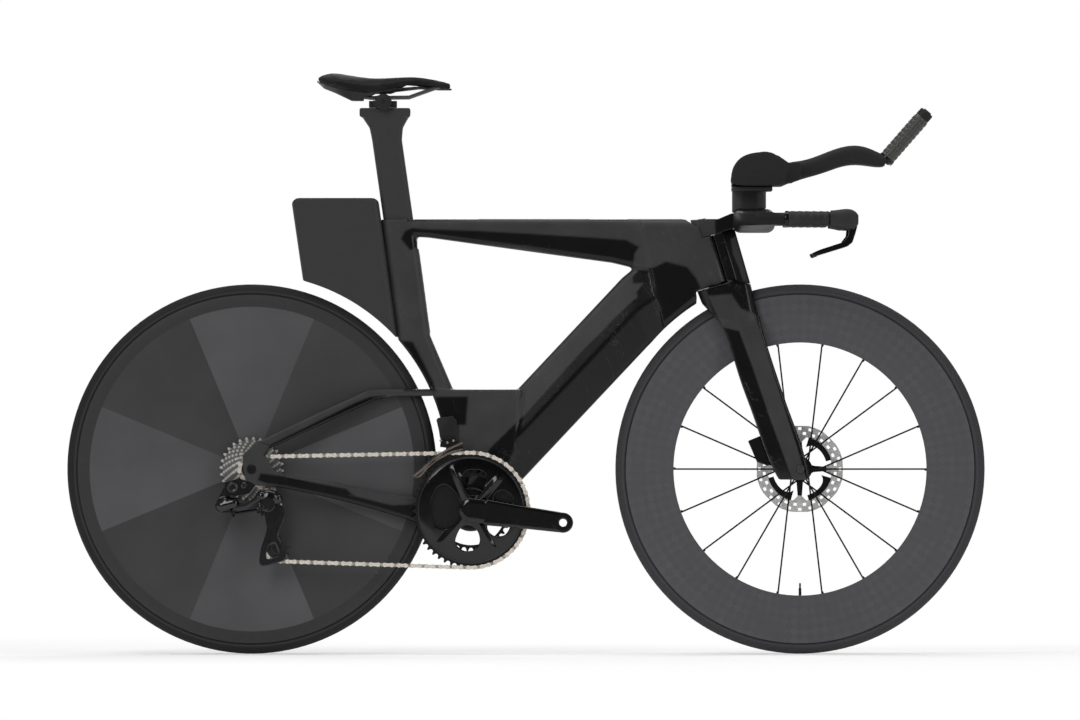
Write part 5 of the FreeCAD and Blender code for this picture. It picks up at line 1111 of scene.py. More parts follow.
# Paint of the fork with painted light: the black nose is its paint, its thin light streak is a painted
# highlight, and the dark bands along the blades are partly painted shade.
FORK_TONES_SHADE_AND_HIGHLIGHT = (
    ToneArea(((700, 222), (736, 222), (760, 316), (741, 309), (731, 294), (708, 296), (703, 305),
              (694, 292))),
    # Painted highlight: thin light streak on the gloss black nose.
    ToneArea(((730.5, 239), (735.5, 237), (748, 283), (743, 281), (739, 268), (733, 254)),
             dark=False, soft=0.8),
    ToneArea(((697, 290), (708, 296), (722, 327), (739, 331), (752, 366), (770.5, 420), (792, 479),
              (800, 492), (770, 492), (705, 330)), soft=0.8),
    ToneArea(((752, 284), (764, 318), (783, 372), (808, 448), (820, 492), (809.5, 492), (797, 448),
              (772.4, 372), (755.5, 316), (746.5, 284)), soft=0.5),
)


class Assembly:
    """One sub-assembly of the bike: pieces that it makes, and solids that stay, listed after their finish."""

    solids: ClassVar[tuple] = ()

    def build(self) -> list[Piece]:
        """Makes the pieces of the sub-assembly and returns them."""
        return []

    def dress(self) -> None:
        """Finishes the solids that stay."""
        for finish, *nodes in self.solids:
            dress(finish, *nodes)


@dataclass
class Monocoque(Assembly):
    """Frame: front triangle, both stays, hanger, bearings and the box behind the seat tube."""

    solids = ((BLACK_ALLOY, "derailleur_hanger", "bottom_bracket_cups", "rear_thru_axle"),
              (BOLT_STEEL, "bottom_bracket_bearings", "headset_bearings"))
    hull_voxel: float = 2.4 * MM
    stay_voxel: float = 1.75 * MM
    axle_cap_radius: float = 8.5 * MM
    dropout_face: float = 79 * MM
    seal_pixels: tuple = ((380.4, 220), (383.8, 220), (399.2, 337), (396, 337))
    seal_half: float = 7 * MM
    wall_pixels: tuple = ((418.4, 250), (420.1, 262), (423.9, 290), (427.6, 318), (429.6, 332))
    wall_radius: float = 1.5 * MM
    wall_half: int = 12
    wall_curve: float = 0.0109

    def build(self) -> list[Piece]:
        """Moulds the hull, the stays and the box, and adds the box's seal and the axle's caps."""
        blank = solid_copy("front_triangle")
        for across in range(-self.wall_half, self.wall_half + 1, 2):
            inset = self.wall_curve * across ** 2
            add_rod(blank, [spot((x - inset, y), across * MM) for x, y in self.wall_pixels], self.wall_radius)
        tubes = [moulded("front_triangle", FRAME_PAINT, self.hull_voxel, rounds=6, blank=blank)]
        stays = ("seatstays", "chainstays")
        tubes += [moulded(node, FRAME_PAINT, self.stay_voxel, rounds=4) for node in stays]
        for tube in tubes:
            paint_tones_and_shade(tube, FRAME_TONES_AND_SHADE)
        box = moulded("storage_box", BARE_CARBON, self.hull_voxel, rounds=3)
        caps = axle_caps("rear_axle_caps", REAR_AXLE, self.dropout_face, self.axle_cap_radius, "frame")
        return [*tubes, box, self.seal(), caps]

    def seal(self) -> Piece:
        """Dark strip that closes the gap between the box and the seat tube."""
        mesh = bmesh.new()
        add_plate(mesh, [self.seal_pixels], -self.seal_half, self.seal_half, rounds=0)
        return to_piece("box_seal", mesh, DARK_PLASTIC, "frame")


@dataclass
class Fork(Assembly):
    """Fork with its nose and steerer, and the front axle."""

    solids = ((BLACK_ALLOY, "front_thru_axle"),)
    voxel: float = 1.9 * MM
    blade_face: float = 65.5 * MM
    cap_radius: float = 7.5 * MM

    def build(self) -> list[Piece]:
        """Moulds the fork and adds the axle's caps."""
        fork = moulded("fork", FRAME_PAINT, self.voxel, rounds=4)
        paint_tones_and_shade(fork, FORK_TONES_SHADE_AND_HIGHLIGHT)
        plug = [(0, 0.3 * MM), (self.cap_radius - 0.6 * MM, 0.3 * MM), (self.cap_radius, -0.2 * MM),
                (self.cap_radius, -2 * MM)]
        blank = turned(plug, FRONT_AXLE - ACROSS * self.blade_face, -ACROSS, steps=32)
        cover = to_piece("fork_axle_cover", blank, FRAME_PAINT, "steering")
        caps = axle_caps("front_axle_caps", FRONT_AXLE, self.blade_face, self.cap_radius, "steering", (1,))
        return [fork, cover, caps]


class RearWheel(Assembly):
    """Disc wheel: tyre, hoop, both skins and hub."""

    solids = ((REAR_RUBBER, "rear_tyre"), (REAR_RIM_CARBON, "rear_rim"), (DISC_CARBON, "disc_skins"),
              (BLACK_ALLOY, "rear_hub_shell"))


@dataclass
class FrontWheel(Assembly):
    """Deep rimmed wheel: tyre, rim, spokes with nipples, valve and hub."""

    solids = ((FRONT_RUBBER, "front_tyre"), (RIM_CARBON, "front_rim"),
              (BLACK_ALLOY, "front_spokes", "front_hub_shell"))
    valve_pixel: Pixel = (800, 583)
    rim_inner_pixel: Pixel = (800, 598)
    nipple_radius: float = 2.2 * MM
    nipple_length: float = 7 * MM

    def build(self) -> list[Piece]:
        """Adds the valve and the nipples."""
        return [self.valve(), self.nipples()]

    def valve(self) -> Piece:
        """Valve that stands on the rim's inner edge, with its nut and cap."""
        root, tip = spot(self.rim_inner_pixel), spot(self.valve_pixel)
        length = (tip - root).length
        profile = [(0, length), (1.2 * MM, length), (1.7 * MM, length - 1.5 * MM),
                   (1.7 * MM, length - 9 * MM), (2.6 * MM, length - 10 * MM), (2.6 * MM, 4 * MM),
                   (4.2 * MM, 3.4 * MM), (4.2 * MM, 0.5 * MM), (3 * MM, -2 * MM)]
        stem = turned(profile, root, tip - root, steps=20)
        return to_piece("front_valve", stem, BLACK_ALLOY, "front_wheel", crisp=True)

    def nipples(self) -> Piece:
        """A nipple at the rim's end of each spoke."""
        spokes = solid_copy("front_spokes")
        rim_edge = (spot(self.rim_inner_pixel) - FRONT_AXLE).length
        mesh = bmesh.new()
        for blade in islands(spokes):
            points = [vert.co - FRONT_AXLE for vert in blade]
            tip = max(points, key=lambda point: point.xz.length)
            foot = min(points, key=lambda point: point.xz.length)
            along = (foot - tip).normalized()
            seat = FRONT_AXLE + tip + along * max(0.0, tip.xz.length - rim_edge)
            radius, length = self.nipple_radius, self.nipple_length
            turned([(0, length), (radius * 0.6, length), (radius * 0.8, length * 0.7), (radius, length * 0.3),
                    (radius, -length * 0.4)], seat, along, steps=8, mesh=mesh)
        spokes.free()
        return to_piece("spoke_nipples", mesh, BLACK_ALLOY, "front_wheel")


@dataclass
class Rotor(Assembly):
    """Brake rotor: a ground steel track with windows on a black carrier with cooling fins."""

    axle: Vector
    body: str
    finish: Finish
    track_node: str
    carrier_nodes: tuple[str, ...] = ()
    track_inner: float = 59 * MM
    rim_steps: int = 180
    waves: int = 8
    wave: float = 1.2 * MM
    tabs: int = 4
    tab_depth: float = 15 * MM
    tab_angle: float = 12.0
    rows: tuple = ((74 * MM, 24, 0.0), (65.5 * MM, 24, 0.5))
    window: tuple[float, float] = (6.4 * MM, 5.2 * MM)
    arm_width: float = 15 * MM
    arm_root: float = 3 * MM
    arm_lap: float = 5 * MM
    boss_radius: float = 23 * MM
    bore_radius: float = 17 * MM
    fin_radii: tuple[float, float] = (50 * MM, 60 * MM)
    fin_angles: tuple[float, float] = (16.0, 74.0)
    fin_toe: float = 9 * MM
    fin_half: float = 2.2 * MM

    def at(self, radius: float, degrees: float, across: float) -> Vector:
        """Point in wheel coordinates.

        Args:
            radius: Distance from the axle.
            degrees: Angle from the front, upwards.
            across: Place across the bike.

        Returns:
            The point.
        """
        angle = math.radians(degrees)
        along, up = radius * math.cos(angle), radius * math.sin(angle)
        return Vector((self.axle.x + along, across, self.axle.z + up))

    def build(self) -> list[Piece]:
        """Makes the track and its carrier."""
        return [self.track(), self.carrier()]

    def track(self) -> Piece:
        """Track with a waved rim, two rows of windows and a pointed tab for each arm."""
        mesh = bmesh.new()
        low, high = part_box(self.track_node)
        outer = (high.z - low.z) / 2
        rim, bore = [], []
        pitch = 360 / self.tabs
        for step in range(self.rim_steps):
            turn = 360 / self.rim_steps * step
            off = (turn + pitch / 2) % pitch - pitch / 2
            dip = self.wave * max(0.0, math.cos(math.radians(self.waves * turn)))
            rim.append(self.at(outer - dip, turn, low.y))
            point = self.tab_depth * max(0.0, 1 - abs(off) / self.tab_angle)
            bore.append(self.at(self.track_inner - point, turn, low.y))
        edges = add_loop(mesh, rim) + add_loop(mesh, bore)
        long, tall = [size / 2 for size in self.window]
        for radius, count, shift in self.rows:
            half = math.degrees(long / radius)
            for i in range(count):
                turn = (i + shift) * 360 / count
                signs = ((-1, -1), (-1, 1), (1, 1), (1, -1))
                corners = [self.at(radius + up * tall, turn + on * half, low.y) for up, on in signs]
                edges += add_loop(mesh, corners, rounds=1)
        fill_loops(mesh, edges, ACROSS * (high.y - low.y))
        return to_piece(f"{self.track_node}_track", mesh, self.finish, self.body, self.track_node, crisp=True)

    def carrier(self) -> Piece:
        """Boss on the hub, an arm to each tab and a curved fin between the arms."""
        mesh = bmesh.new()
        low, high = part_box(self.track_node)
        near, far = low.y - self.fin_half / 2, high.y + self.fin_half / 2
        boss = [(self.bore_radius, near), (self.boss_radius, near), (self.boss_radius, far),
                (self.bore_radius, far), (self.bore_radius, near)]
        turned(boss, Vector((self.axle.x, 0, self.axle.z)), ACROSS, steps=48, mesh=mesh)
        start, end = self.fin_angles
        inner, outer = self.fin_radii
        half = math.degrees(self.arm_width / 2 / self.boss_radius)
        root, tip = self.boss_radius - self.arm_root, self.track_inner - self.tab_depth + self.arm_lap
        shares = [step / 10 for step in range(11)]
        toes = [inner - self.fin_toe * share ** 6 for share in shares]
        for i in range(self.tabs):
            base = 360 / self.tabs * i
            arm = [(root, base - half), (tip, base - half / 4), (tip, base + half / 4), (root, base + half)]
            turns = [base + start + (end - start) * share for share in shares]
            fin = [(outer, turn) for turn in turns] + list(zip(toes, turns))[::-1]
            for outline in (arm, fin):
                edges = add_loop(mesh, [self.at(*point, near) for point in outline])
                fill_loops(mesh, edges, ACROSS * (far - near))
        name = f"{self.track_node}_carrier"
        return to_piece(name, mesh, BLACK_ALLOY, self.body, *self.carrier_nodes, crisp=True)


@dataclass
class Crankset(Assembly):
    """Spindle, arms, rings and the dished spider that joins the right arm to the big ring."""

    solids = ((RING_ALLOY, "chainring_outer", "chainring_inner"), (BLACK_ALLOY, "crank_spindle"))
    arm_voxel: float = 1.1 * MM
    spider_voxel: float = 0.95 * MM
    rim_radius: float = 98 * MM
    bead_radius: float = 95.5 * MM
    plate: float = 5 * MM
    ring_side: float = 48 * MM
    hub_side: float = 62 * MM
    root_face: float = 70.6 * MM
    root_length: float = 26 * MM
    root_width: float = 22 * MM
    closed: tuple[int, ...] = (1, 4)
    back_side: float = 46 * MM
    ridge_angles: tuple[float, ...] = (112, 49, -61, -132)
    ridge_half_width: float = 8.5 * MM
    ridge_height: float = 6.5 * MM
    ridge_start: float = 30 * MM
    ridge_end: float = 90 * MM
    ridge_fade: float = 35 * MM
    dip: float = 2.5 * MM
    web: float = 1.2 * MM
    web_share: float = 1.04
    openings: tuple = (
        ((-15.6, 65.6), (-6.4, 74), (18, 74), (28, 65.6), (28.7, 51.9), (18, 28), (-3.4, 26.5),
         (-15.6, 48.8)),
        ((-64.4, 40.5), (-47.6, 49.5), (-28.3, 33.6), (-19.1, 15.3), (-17.6, -12.2), (-28.3, -28),
         (-47.6, -36), (-64.4, -31), (-73, -15.3), (-74.5, 12.2)),
        ((-26.2, -45.8), (-17, -28), (1.2, -26.5), (14, -39.7), (17.5, -58), (7.3, -74), (-14, -75.5),
         (-30, -61)),
        ((30, -20), (70, -20), (72, -32), (62.2, -47), (42, -48), (30, -37)),
        ((40, 29), (58, 38), (76, 26), (80, 10), (44, 10)),
    )

    def build(self) -> list[Piece]:
        """Makes the spider and both arms."""
        left = moulded("crank_arm_left", GLOSS_ALLOY, self.arm_voxel, rounds=10)
        return [self.right_arm(), self.spider(), self.backs(), self.bead(), left, self.cap()]

    def right_arm(self) -> Piece:
        """Right arm from its root to the pedal's thread."""
        pedal = max((vert.co for vert in NODES["crank_arm_right"].data.vertices), key=lambda point: point.x)
        along = Vector((pedal.x - BRACKET.x, 0, pedal.z - BRACKET.z)).normalized()
        mesh = solid_copy("crank_arm_right")
        cut_off(mesh, BRACKET + along * self.root_length, -along)
        crown = self.root_face - self.hub_side
        dome = [(0, crown), (self.root_width * 0.7, crown), (self.root_width, crown - 3 * MM),
                (self.root_width * 1.05, -6 * MM), (0, -6 * MM)]
        for share in (0.0, 0.35, 0.7, 1.05):
            seat = BRACKET - ACROSS * self.hub_side + along * self.root_length * share
            turned(dome, seat, -ACROSS, steps=40, mesh=mesh)
        return moulded("crank_arm_right", GLOSS_ALLOY, self.arm_voxel, rounds=10, blank=mesh)

    def spider(self) -> Piece:
        """Dished plate with five openings and a ridge along each of its arms."""
        mesh = bmesh.new()
        flat = Matrix.Translation(BRACKET) @ Matrix.Rotation(math.radians(90), 4, "X")
        rim = bmesh.ops.create_circle(mesh, radius=self.rim_radius, segments=120, matrix=flat)["verts"]
        edges = list(dict.fromkeys(edge for vert in rim for edge in vert.link_edges))
        for opening in self.openings:
            edges += add_loop(mesh, [BRACKET + Vector((x, 0, z)) * MM for x, z in opening], rounds=4)
        fill_loops(mesh, edges, -ACROSS * self.plate)
        skin = remeshed(mesh, self.spider_voxel, rounds=5)
        for vert in skin.vertices:
            away = Vector((vert.co.x - BRACKET.x, 0, vert.co.z - BRACKET.z))
            vert.co.y -= self.ring_side + self.dish(away)
        return to_piece("crank_spider", skin, GLOSS_ALLOY, "crank")

    def backs(self) -> Piece:
        """Dark webs behind the two openings that don't go through."""
        mesh = bmesh.new()
        for which in self.closed:
            middle = BRACKET - ACROSS * self.back_side
            corners = [middle + Vector((x, 0, z)) * MM * self.web_share for x, z in self.openings[which]]
            fill_loops(mesh, add_loop(mesh, corners, rounds=1), ACROSS * self.web)
        return to_piece("spider_webs", mesh, RING_ALLOY, "crank", crisp=True)

    def dish(self, away: Vector) -> float:
        """How far the spider stands out of the ring's plane.

        Args:
            away: Place in the ring's plane, from the spindle.

        Returns:
            Distance towards the right, in metres.
        """
        share = 1 - min(1.0, away.length / self.bead_radius)
        rise = (self.hub_side - self.ring_side) * share ** 0.8 - self.dip * math.sin(math.pi * share) ** 2
        ridge = 0.0
        for angle in self.ridge_angles:
            along = Vector((math.cos(math.radians(angle)), 0, math.sin(math.radians(angle))))
            length = away.dot(along)
            if length > 0:
                fade = min(1.0, length / self.ridge_start, (self.ridge_end - length) / self.ridge_fade)
                beside = (away - along * length).length
                ridge = max(ridge, max(0.0, fade) * (1 - beside / self.ridge_half_width))
        return rise + self.ridge_height * max(0.0, ridge)

    def bead(self) -> Piece:
        """Raised bead at the spider's edge beside the big ring's teeth, in a paler metal than the spider as a
        painted highlight line.
        """
        edge, face = self.bead_radius, self.plate + 0.9 * MM
        profile = [(edge - 1.1 * MM, 1 * MM), (edge - 0.8 * MM, face - 0.4 * MM), (edge, face),
                   (edge + 1.2 * MM, face - 0.6 * MM), (edge + 2.4 * MM, 1 * MM), (edge - 1.1 * MM, 1 * MM)]
        # Painted highlight: the paler metal stands for the bright line on the spider's black edge.
        ring = turned(profile, BRACKET - ACROSS * self.ring_side, -ACROSS, steps=128)
        return to_piece("spider_bead", ring, LINK_ALLOY, "crank")

    def cap(self) -> Piece:
        """Cap of the left arm, with its key."""
        _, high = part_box("crank_arm_left")
        seat = Vector((BRACKET.x, high.y, BRACKET.z))
        profile = [(0, 0.2 * MM), (5 * MM, 0.2 * MM), (5.4 * MM, 1.4 * MM), (10 * MM, 1.8 * MM),
                   (11.5 * MM, 1 * MM), (11.5 * MM, -1 * MM)]
        cap = turned(profile, seat, ACROSS, steps=32)
        return to_piece("left_crank_cap", cap, DARK_PLASTIC, "crank", crisp=True)


@dataclass
class Transmission(Assembly):
    """Chain, sprockets, freehub and both derailleurs."""

    solids = ((SPROCKET_STEEL, "cassette_sprockets"), (BLACK_ALLOY, "freehub_body"),
              (DARK_PLASTIC, "guide_pulley", "tension_pulley"))
    mech_voxel: float = 0.64 * MM
    cage_pixels: tuple = ((271, 507), (279, 503), (285, 508), (285.5, 516), (281, 527), (277.5, 536),
                          (281, 542), (287, 557), (284, 561), (263, 566.5), (259, 563), (261.5, 547),
                          (266, 535), (268, 525), (271, 514))
    cage_window_pixels: tuple = ((268, 546), (275.5, 541), (281, 555), (266, 560))
    cage_plate: float = 1.8 * MM
    boss_pixels: tuple = (((232.9, 487), 10 * MM), ((244.6, 485.2), 6.2 * MM))
    trim_pixels: tuple = (
        ((463, 441.5), (463, 443.4), (446, 451.4), (430, 465), (416, 476), (413.5, 476.5), (414, 474.6),
         (428, 463.3), (445, 449.4)),
        ((463, 448.4), (463, 449.6), (451.2, 452.9), (433.1, 462.9), (420.2, 477.3), (414, 477.6),
         (419.4, 475.6), (432, 461.2), (450.2, 451.3)),
    )
    motor_cuts: tuple = (((220, 511), (-1, 0, -0.8)), ((218, 500), (-1, 0, 0.5)), ((226, 512.5), (0, 0, -1)))
    body_cuts: tuple = (((438, 418), (-1, 0, 1)), ((455, 418), (1, 0, 1)), ((437.5, 430), (-1, 0, -0.35)))
    motor_middle: tuple = ((226.5, 504), -70 * MM)
    motor_radii: tuple[float, float, float] = (16 * MM, 12 * MM, 14 * MM)
    motor_path: tuple = (((222, 506), -72 * MM), ((234, 503), -72 * MM))
    motor_rod_radius: float = 11 * MM
    outer_link_path: tuple = (((235.5, 508), -72 * MM), ((247, 506), -80 * MM), ((259, 499), -88 * MM))
    outer_link_radius: float = 6 * MM
    knuckle_middle: tuple = ((270, 497.5), -84 * MM)
    knuckle_radii: tuple[float, float, float] = (20 * MM, 11 * MM, 15 * MM)
    knuckle_tilt: float = 12.0
    knuckle_path: tuple = (((262, 496), -84 * MM), ((278, 499), -82 * MM))
    knuckle_rod_radius: float = 10 * MM
    link_pixels: tuple = ((441, 440.5), (447.5, 442.5), (453.5, 440.5))
    link_radius: float = 2.6 * MM
    inner_link_corners: int = 780

    def build(self) -> list[Piece]:
        """Moulds the derailleurs, and shows the chain link by link."""
        inner = moulded("mech_inner_link", MECH_PLASTIC, self.mech_voxel, rounds=6)
        cage = moulded("front_derailleur_cage", MECH_PLASTIC, self.mech_voxel, rounds=2)
        return [self.motor(), self.outer_link(), inner, self.knuckle(), self.cage(), self.bosses(),
                self.front_body(), cage, self.front_trim(), self.front_links(), self.chain()]

    def motor(self) -> Piece:
        """Bracket of the rear derailleur with the round motor behind it."""
        mesh = solid_copy("mech_bracket")
        for pixel, outward in self.motor_cuts:
            cut_off(mesh, spot(pixel), Vector(outward))
        add_blob(mesh, spot(*self.motor_middle), self.motor_radii)
        add_rod(mesh, [spot(*point) for point in self.motor_path], self.motor_rod_radius)
        return moulded("mech_bracket", MECH_PLASTIC, self.mech_voxel, rounds=24, blank=mesh,
                       name="mech_motor")

    def outer_link(self) -> Piece:
        """Curved outer link of the rear derailleur."""
        mesh = solid_copy("mech_outer_link")
        add_rod(mesh, [spot(*point) for point in self.outer_link_path], self.outer_link_radius)
        return moulded("mech_outer_link", LINK_ALLOY, self.mech_voxel, rounds=6, blank=mesh,
                       name="mech_link_skin")

    def knuckle(self) -> Piece:
        """Round shouldered knuckle that carries the cage."""
        mesh = solid_copy("mech_knuckle")
        add_blob(mesh, spot(*self.knuckle_middle), self.knuckle_radii, self.knuckle_tilt)
        add_rod(mesh, [spot(*point) for point in self.knuckle_path], self.knuckle_rod_radius)
        return moulded("mech_knuckle", MECH_PLASTIC, self.mech_voxel, rounds=8, blank=mesh)

    def cage(self) -> Piece:
        """Cage of the rear derailleur: its solid with a wider, windowed outer plate."""
        mesh = solid_copy("mech_cage")
        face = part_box("guide_pulley")[0].y - 1.2 * MM
        add_plate(mesh, [self.cage_pixels, self.cage_window_pixels], face, face - self.cage_plate)
        return moulded("mech_cage", MECH_PLASTIC, self.mech_voxel, rounds=3, blank=mesh)

    def front_body(self) -> Piece:
        """Motor of the front derailleur, a block with round shoulders."""
        mesh = solid_copy("front_derailleur_body")
        for pixel, outward in self.body_cuts:
            cut_off(mesh, spot(pixel), Vector(outward))
        return moulded("front_derailleur_body", DARK_PLASTIC, self.mech_voxel, rounds=16, blank=mesh,
                       name="front_derailleur_motor")

    def front_trim(self) -> Piece:
        """Bright edges of the front cage's outer plate."""
        mesh = bmesh.new()
        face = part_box("front_derailleur_cage")[0].y
        for outline in self.trim_pixels:
            add_plate(mesh, [outline], face + 0.4 * MM, face - 0.8 * MM, rounds=1)
        return to_piece("front_cage_edges", mesh, CAGE_STEEL, "front_cage", crisp=True)

    def front_links(self) -> Piece:
        """Links between the front derailleur's motor and its cage."""
        mesh = bmesh.new()
        near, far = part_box("front_derailleur_body")[0].y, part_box("front_derailleur_cage")[0].y
        for pixel in self.link_pixels:
            add_rod(mesh, [spot(pixel, near - 1 * MM), spot(pixel, far + 1 * MM)], self.link_radius)
        return to_piece("front_derailleur_links", mesh, CAGE_STEEL, "front_cage")

    def bosses(self) -> Piece:
        """Mounting bolt and limit screw of the rear derailleur."""
        low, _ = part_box("mech_bracket")
        mesh = bmesh.new()
        for pixel, radius in self.boss_pixels:
            socket = radius * 0.5
            profile = [(0, 1 * MM), (socket, 1 * MM), (socket, 3.6 * MM), (radius * 0.75, 4.4 * MM),
                       (radius, 3 * MM), (radius, -2 * MM)]
            turned(profile, spot(pixel, low.y + 3 * MM), -ACROSS, steps=24, mesh=mesh)
        return to_piece("mech_bolts", mesh, LINK_ALLOY, "frame", crisp=True)

    def chain(self) -> Piece:
        """Chain whose inner links are painted darker than its outer links, as painted shade on the plates
        that sit between them.
        """
        mesh = solid_copy("chain")
        shade = mesh.verts.layers.float.new("tone_and_shade")
        for link in islands(mesh):
            for vert in link:
                # Painted shade on the inner links, which sit behind the outer plates.
                vert[shade] = float(len(link) > self.inner_link_corners)
        return to_piece("chain_links", mesh, CHAIN_STEEL, "frame", "chain", crisp=True)


@dataclass
class Brakes(Assembly):
    """Calipers with their pads."""

    solids = ((LINING, "rear_brake_pads", "front_brake_pads"),)
    voxel: float = 0.8 * MM

    def build(self) -> list[Piece]:
        """Moulds the calipers."""
        nodes = ("rear_brake_caliper", "front_brake_caliper")
        return [moulded(node, GLOSS_ALLOY, self.voxel, rounds=3) for node in nodes]


@dataclass
class Cockpit(Assembly):
    """Stem, base bar, riser, arm cups with pads, tape, hoods, levers and buttons."""

    solids = ((DARK_PLASTIC, "shift_button_right", "shift_button_left"),)
    voxel: float = 1.45 * MM
    lever_voxel: float = 0.8 * MM
    tip_inset: float = 3 * MM
    tip_radii: tuple[float, float, float] = (4.4 * MM, 4.4 * MM, 4 * MM)
    pad_voxel: float = 2.4 * MM
    pad_swell: float = 2 * MM
    pad_fill: float = 0.7
    tape_fill: float = 0.9
    horn_side: float = 188 * MM
    horn_tape_pixels: tuple = ((784, 219.3), (828, 219.5))
    horn_tape_radius: float = 13.6 * MM
    wrap_pitch: float = 13 * MM
    wrap_step: float = 0.9 * MM
    grip_side: float = 54 * MM
    grip_pixels: tuple = ((885, 160.3), (923.5, 116.2))
    grip_radius: float = 14.5 * MM
    grip_floor: float = 0.85
    cap_length: float = 9 * MM
    block: float = 10 * MM
    block_height: float = 1.0 * MM
    end_tuck: float = 0.8 * MM
    cup_pixels: tuple = ((731.3, 186.5), (731, 178), (733, 167), (739, 158.4), (748.5, 153.8), (765, 151.6),
                         (773, 153.4), (780.5, 159), (787, 163), (787, 175), (782, 186.5))
    cup_wall: float = 5 * MM

    def build(self) -> list[Piece]:
        """Moulds the carbon, and wraps the tape and the grips."""
        stem = moulded("stem", FRAME_PAINT, self.voxel, rounds=4)
        paint_tones_and_shade(stem, STEM_TONES)
        pieces = [stem, moulded("base_bar", BAR_CARBON, self.voxel, rounds=6),
                  moulded("riser", BARE_CARBON, self.voxel, rounds=4),
                  moulded("lever_hoods", HOOD_RUBBER, self.lever_voxel, rounds=10)]
        pieces += [self.lever(node) for node in ("brake_lever_right", "brake_lever_left")]
        pads = puffed("arm_pads", PAD_CLOTH, self.pad_voxel, self.pad_swell, self.pad_fill)
        return pieces + [self.cups(), pads, self.wrapping(), self.collars()]

    def cups(self) -> Piece:
        """Cups with curved outer walls, in one with their extensions."""
        mesh = solid_copy("arm_cups")
        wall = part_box("arm_cups")[1].y
        for side in SIDES:
            add_plate(mesh, [self.cup_pixels], side * wall, side * (wall - self.cup_wall), rounds=3)
        return moulded("arm_cups", CUP_CARBON, self.voxel, rounds=10, blank=mesh)

    def lever(self, node: str) -> Piece:
        """Brake lever with a round tip.

        Args:
            node: Solid of the lever.

        Returns:
            The piece.
        """
        mesh = solid_copy(node)
        tip = min((vert.co for vert in mesh.verts), key=lambda point: point.z + point.x).copy()
        add_blob(mesh, tip + Vector((self.tip_inset, 0, self.tip_inset)), self.tip_radii)
        return moulded(node, GLOSS_CARBON, self.lever_voxel, rounds=6, blank=mesh)

    def collars(self) -> Piece:
        """Gloss rings where the tape and the grips begin."""
        mesh = bmesh.new()
        for side in SIDES:
            for pixels, across, radius in ((self.horn_tape_pixels, self.horn_side, self.horn_tape_radius),
                                           (self.grip_pixels, self.grip_side, self.grip_radius)):
                start, end = [spot(pixel, side * across) for pixel in pixels]
                profile = [(radius - 3 * MM, -1 * MM), (radius, -0.4 * MM), (radius + 0.6 * MM, 1 * MM),
                           (radius + 0.6 * MM, 6 * MM), (radius - 1 * MM, 7 * MM)]
                turned(profile, start, (end - start).normalized(), steps=40, mesh=mesh)
        return to_piece("tape_collars", mesh, GLOSS_CARBON, "steering", crisp=True)

    def wrapping(self) -> Piece:
        """Tape on the horns, wound with overlaps, and block grips on the extensions."""
        mesh = bmesh.new()
        for side in SIDES:
            start, end = [spot(pixel, side * self.horn_side) for pixel in self.horn_tape_pixels]
            self.sleeve(mesh, start, end, self.horn_tape_radius, self.wrap_height, sides=48, step=1.2 * MM)
            start, end = [spot(pixel, side * self.grip_side) for pixel in self.grip_pixels]
            self.sleeve(mesh, start, end, self.grip_radius, self.block_relief, sides=96, step=0.95 * MM)
        bmesh.ops.recalc_face_normals(mesh, faces=mesh.faces)
        tape = to_piece("bar_wrapping", mesh, TAPE_RUBBER, "steering", "bar_tape")
        tape.data.materials.append(GRIP_RUBBER.material())
        for face in tape.data.polygons:
            face.material_index = int(face.center.z > self.grip_floor)
        return tape

    def wrap_height(self, along: float, turn: float) -> float:
        """Height of wound tape over its tube.

        Args:
            along: Distance along the horn.
            turn: Share of a turn round it.

        Returns:
            Height added to the radius.
        """
        lap = (along / self.wrap_pitch + turn) % 1.0
        return self.wrap_step * (min(lap * 8, 1.0) * (1 - lap) * 1.1 - 0.3)

    def block_relief(self, along: float, turn: float) -> float:
        """Height of the grip's square blocks.

        Args:
            along: Distance along the grip.
            turn: Share of a turn round it.

        Returns:
            Height added to the radius.
        """
        count = round(math.tau * self.grip_radius / self.block)
        edges = [min(share % 1.0, 1 - share % 1.0) for share in (along / self.block, turn * count)]
        left = (spot(self.grip_pixels[1]) - spot(self.grip_pixels[0])).length - along
        dome = self.grip_radius * 0.45 * max(0.0, 1 - left / self.cap_length) ** 2
        if left < self.cap_length:
            return -self.block_height / 2 - dome
        return self.block_height * (min(1.0, max(0.0, (min(edges) - 0.06) / 0.14)) - 1.0)

